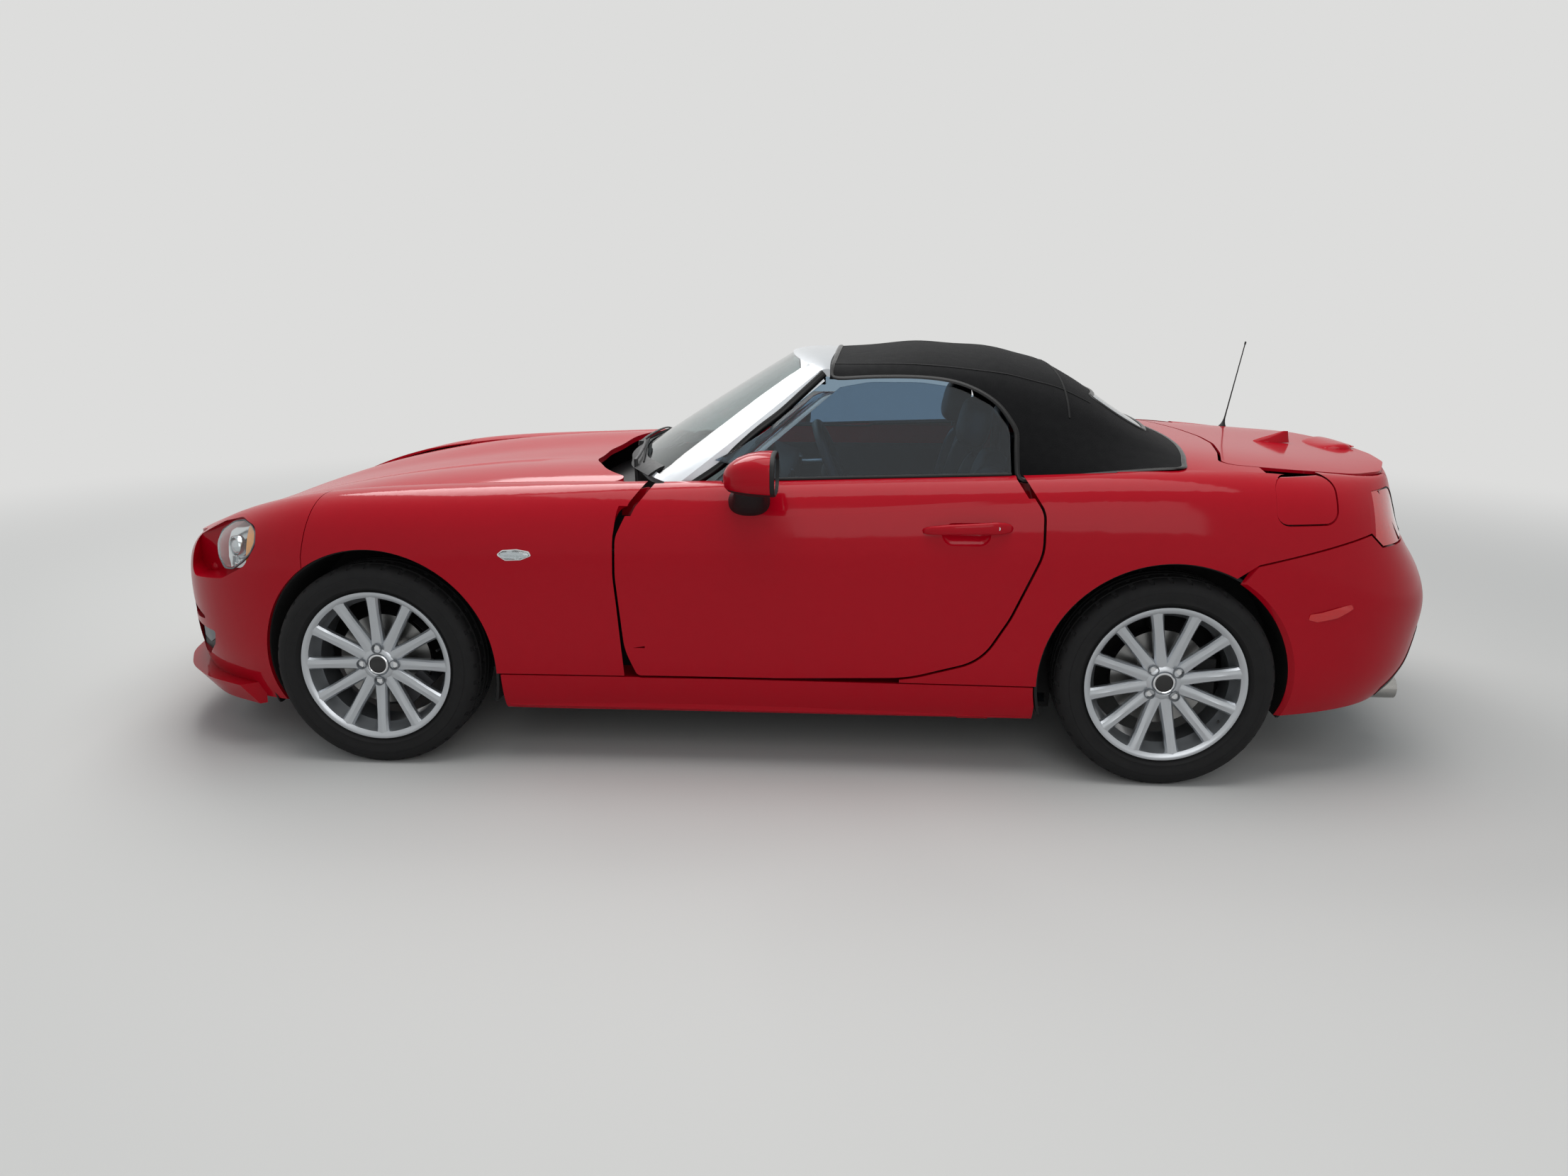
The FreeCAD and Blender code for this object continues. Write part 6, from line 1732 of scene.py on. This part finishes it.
@dataclass
class Tail:
    """Valance, fin, whip aerial, high brake light and blank plate."""

    def build(self) -> None:
        """Build the tail pieces."""
        self.valance()
        self.fin()
        self.aerial()
        self.high_light()
        self.plate()

    def valance(self) -> None:
        """Black diffuser panel between the exhaust tips, wrapping round both corners."""
        skin = Skin("rear_bumper")
        contour = rounded_outline([
            (-53, 262, 6), (-47, 330, 30), (-43.5, 420, 6), (-40, 436, 6), (-30, 420, 40), (0, 412, 0),
            (30, 420, 40), (40, 436, 6), (43.5, 420, 6), (47, 330, 30), (53, 262, 6), (52, 226, 4),
            (0, 222, 0), (-52, 226, 4)], 4)

        def place(angle: float, z: float) -> Vector:
            """Lay a point on the bumper seen from inside the tail."""
            bearing = math.radians(angle)
            away = Vector((math.cos(bearing), math.sin(bearing), 0))
            found = skin.hit(mm(1300, 0, z) + away * 1.6, -away)
            if found is None:
                near, normal, _, _ = skin.tree.find_nearest(mm(1300, 0, z) + away * 0.6)
                return near + away * 0.0012
            return found[0] + found[1] * 0.0012

        bm = bmesh.new()
        laid_panel(bm, contour, place, 4.0, 0.0008)
        on_body("rear_valance", bm, MOULDED_BLACK, 50)

    def fin(self) -> None:
        """Small fin in body colour on the lid."""
        skin = Skin("trunk_lid")
        bm = bmesh.new()
        rings = []
        for lift, front, rear, half in ((-1, 1600, 1724, 17), (6, 1606, 1723, 15), (16, 1632, 1721, 11),
                                        (28, 1668, 1719, 7), (40, 1700, 1717, 3)):
            base, _ = skin.top((front + rear) / 2, 0)
            centre = ((front + rear) / 2, 0, base.z / MM + lift)
            rings.append(oval(centre, half, (rear - front) / 2, 2.0, 24, Matrix.Rotation(QUARTER, 3, "Y")))
        loft(bm, rings)
        make_piece("lid_fin", bm, [BODY_ENAMEL], "trunk_lid", 60)

    def aerial(self) -> None:
        """Black whip aerial on the right rear corner."""
        skin = Skin("rear_deck", "rear_quarters")
        base, _ = skin.top(1694, 655)
        bm = bmesh.new()
        turned(bm, [(15, 0), (14, 4), (9, 12), (5.5, 22), (3.2, 34), (2.6, 60), (2.2, 200), (2.0, 322),
                    (3.4, 326), (3.4, 334), (0.4, 336)], 18, basis(base, Vector((0.18, 0, 1.0)), AFT))
        on_body("whip_aerial", bm, MOULDED_BLACK, 50)

    def high_light(self) -> None:
        """High brake light in a raised housing on the lid."""
        skin = Skin("trunk_lid")
        base, _ = skin.top(1850, 0)
        height = base.z / MM
        turn = Matrix.Rotation(QUARTER, 3, "Y")
        bm = bmesh.new()
        loft(bm, [oval((1846 + shift, 0, height + lift), 130 * share, half, 3.2, 36, turn)
                  for lift, share, half, shift in ((-4, 1.0, 58, 0), (4, 0.97, 52, 0), (10, 0.93, 42, 4),
                                                   (14, 0.86, 26, 8), (15.5, 0.8, 14, 10))])
        make_piece("high_light_housing", bm, [BODY_ENAMEL], "trunk_lid", 60)
        bm = bmesh.new()
        loft(bm, [oval((x, 0, height + 6), half, high, 3.0, 32) for x, half, high in (
            (1892, 100, 4), (1899, 98, 4), (1900.5, 95, 3))])
        make_piece("high_light_lens", bm, [RED_LENS], "trunk_lid", 50)

    def plate(self) -> None:
        """Blank number plate in its holder, in the tail's recess."""
        skin = Skin("rear_bumper", "trunk_lid")
        x = max(skin.hit(mm(2400, 0, z), AHEAD)[0].x for z in (510, 560, 600)) / MM
        bm = bmesh.new()
        outline = rounded_outline([(-152, 482, 8), (152, 482, 8), (152, 632, 8), (-152, 632, 8)], 4)
        outline_slab(bm, [mm(x + 3, y, z) for y, z in outline], mm(1.6, 0, 0), 0.0006)
        on_body("blank_plate_rear", bm, BLANK_PLATE)
        bm = bmesh.new()
        outline = rounded_outline([(-158, 476, 10), (158, 476, 10), (158, 638, 10), (-158, 638, 10)], 4)
        outline_slab(bm, [mm(x - 4, y, z) for y, z in outline], mm(6.6, 0, 0), 0.002)
        on_body("plate_holder_rear", bm, MOULDED_BLACK)


# Stage, light and camera

@dataclass
class Stage:
    """Pale floor, soft light and the camera at the photograph's place."""

    eye: tuple[float, float, float] = (0.2912, -4.0277, 1.3781)
    yaw: float = -0.0704
    pitch: float = 0.2471
    roll: float = 0.0009
    focal_pixels: float = 1627.7
    backdrop: str = "DDDDDC"
    frame_pixels: tuple[int, int] = (2212, 1659)
    sensor_mm: float = 36.0
    floor_half: float = 60.0
    # Distances from the middle of the car over which the floor fades into the backdrop
    fade: tuple[float, float] = (2.6, 7.5)

    def build(self) -> None:
        """Make the floor, the world, the lamps and the camera."""
        self.floor()
        self.world()
        self.lamps()
        self.camera()

    def seen_pale(self, tree: bpy.types.NodeTree, surface: bpy.types.NodeSocket,
                  pale: bpy.types.NodeSocket,
                  share: Optional[bpy.types.NodeSocket] = None) -> bpy.types.NodeSocket:
        """Show a pale colour to the eye, to gloss and through glass, and the plain surface to the light."""
        path = add_node(tree, "ShaderNodeLightPath")
        seen = add_node(tree, "ShaderNodeMath", {"operation": "MAXIMUM"}, {
            0: path.outputs["Is Camera Ray"], 1: path.outputs["Is Transmission Ray"]})
        seen = add_node(tree, "ShaderNodeMath", {"operation": "MAXIMUM"}, {
            0: seen.outputs[0], 1: path.outputs["Is Glossy Ray"]})
        if share is not None:
            seen = add_node(tree, "ShaderNodeMath", {"operation": "MULTIPLY"}, {0: seen.outputs[0], 1: share})
        return add_node(tree, "ShaderNodeMixShader", links={
            0: seen.outputs[0], 1: surface, 2: pale}).outputs[0]

    def floor(self) -> None:
        """Pale flat floor under the car."""
        bm = bmesh.new()
        bmesh.ops.create_grid(bm, x_segments=2, y_segments=2, size=self.floor_half)
        mesh = bpy.data.meshes.new("floor")
        bm.to_mesh(mesh)
        bm.free()
        made = bpy.data.materials.new("pale_floor")
        made.use_nodes = True
        tree = made.node_tree
        tree.nodes.clear()
        shader = add_node(tree, "ShaderNodeBsdfDiffuse", {"Color": linear("C9C8C5")})
        pale = add_node(tree, "ShaderNodeEmission", {"Color": linear(self.backdrop), "Strength": 1.0})
        spot = add_node(tree, "ShaderNodeTexCoord")
        away = add_node(tree, "ShaderNodeVectorMath", {"operation": "LENGTH"}, {0: spot.outputs["Object"]})
        share = add_node(tree, "ShaderNodeMapRange", {
            "interpolation_type": "SMOOTHSTEP", "From Min": self.fade[0], "From Max": self.fade[1]},
            {"Value": away.outputs["Value"]})
        add_node(tree, "ShaderNodeOutputMaterial", links={
            "Surface": self.seen_pale(tree, shader.outputs[0], pale.outputs[0], share.outputs[0])})
        mesh.materials.append(made)
        plane = bpy.data.objects.new("floor", mesh)
        bpy.context.scene.collection.objects.link(plane)

    def world(self) -> None:
        """Even sky light, pale to the eye."""
        world = bpy.data.worlds.new("studio")
        bpy.context.scene.world = world
        world.use_nodes = True
        tree = world.node_tree
        tree.nodes.clear()
        light = add_node(tree, "ShaderNodeBackground", {"Color": linear("DDE4EA"), "Strength": 0.5})
        pale = add_node(tree, "ShaderNodeBackground", {"Color": linear(self.backdrop), "Strength": 1.0})
        add_node(tree, "ShaderNodeOutputWorld", links={
            "Surface": self.seen_pale(tree, light.outputs[0], pale.outputs[0])})

    def lamps(self) -> None:
        """Large soft lamps over and behind the car, and a weak one beside the eye."""
        rows = [
            ("key", (-2.2, 3.2, 4.6), (-0.2, 0.2, 0.6), 3.2, 170.0),
            ("top", (0.4, -0.6, 5.2), (0.2, 0.0, 0.6), 4.5, 170.0),
            ("fill", (1.2, -5.6, 2.8), (0.0, 0.0, 0.6), 3.5, 60.0),
        ]
        for name, place, aim, size, power in rows:
            data = bpy.data.lights.new(name, "AREA")
            data.shape = "SQUARE"
            data.size = size
            data.energy = power
            lamp = bpy.data.objects.new(name, data)
            lamp.location = place
            lamp.rotation_euler = (Vector(aim) - Vector(place)).to_track_quat("-Z", "Y").to_euler()
            bpy.context.scene.collection.objects.link(lamp)

    def camera(self) -> None:
        """Put the camera where the photograph was taken from."""
        data = bpy.data.cameras.new("eye")
        data.sensor_width = self.sensor_mm
        data.lens = self.sensor_mm * self.focal_pixels / self.frame_pixels[0]
        data.clip_start = 0.05
        data.clip_end = 300.0
        eye = bpy.data.objects.new("eye", data)
        forward = Vector((math.sin(self.yaw) * math.cos(self.pitch), math.cos(self.yaw) * math.cos(self.pitch),
                          -math.sin(self.pitch)))
        right = forward.cross(UP).normalized()
        up = right.cross(forward)
        turned_right = right * math.cos(self.roll) + up * math.sin(self.roll)
        turned_up = up * math.cos(self.roll) - right * math.sin(self.roll)
        back = -forward
        eye.matrix_world = Matrix((
            (turned_right.x, turned_up.x, back.x, self.eye[0]),
            (turned_right.y, turned_up.y, back.y, self.eye[1]),
            (turned_right.z, turned_up.z, back.z, self.eye[2]),
            (0, 0, 0, 1)))
        bpy.context.scene.collection.objects.link(eye)
        bpy.context.scene.camera = eye
        bpy.context.scene.view_settings.view_transform = "Standard"


def dress_nodes() -> None:
    """Give every CAD node that stays in view its finish."""
    table = {name: finish for finish, names in NODE_FINISHES for name in names.split()}
    for name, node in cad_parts.items():
        finish = table.get(name, MOULDED_BLACK)
        if not node.data.materials:
            node.data.materials.append(finish.material())
        for slot in node.material_slots:
            slot.material = finish.material()


def main() -> None:
    """Build every sub-assembly in order."""
    logging.basicConfig(level=logging.INFO, format="%(message)s")
    Stage().build()
    dress_nodes()
    for corner, x, y, turn in (
            ("front_left", -1155, -747.5, 0.0), ("front_right", -1155, 747.5, 0.0),
            ("rear_left", 1155, -752.5, 50.0), ("rear_right", 1155, 752.5, 50.0)):
        RoadWheel(corner, x, y, turn).build()
    CanvasRoof().build()
    for side in Side:
        Seat(side).build()
        HeadLamp(side).build()
        DoorTrim(side).build()
    SmallLights().build()
    ScreenTrim().build()
    Cabin().build()
    Nose().build()
    Tail().build()


if __name__ == "__main__":
    main()
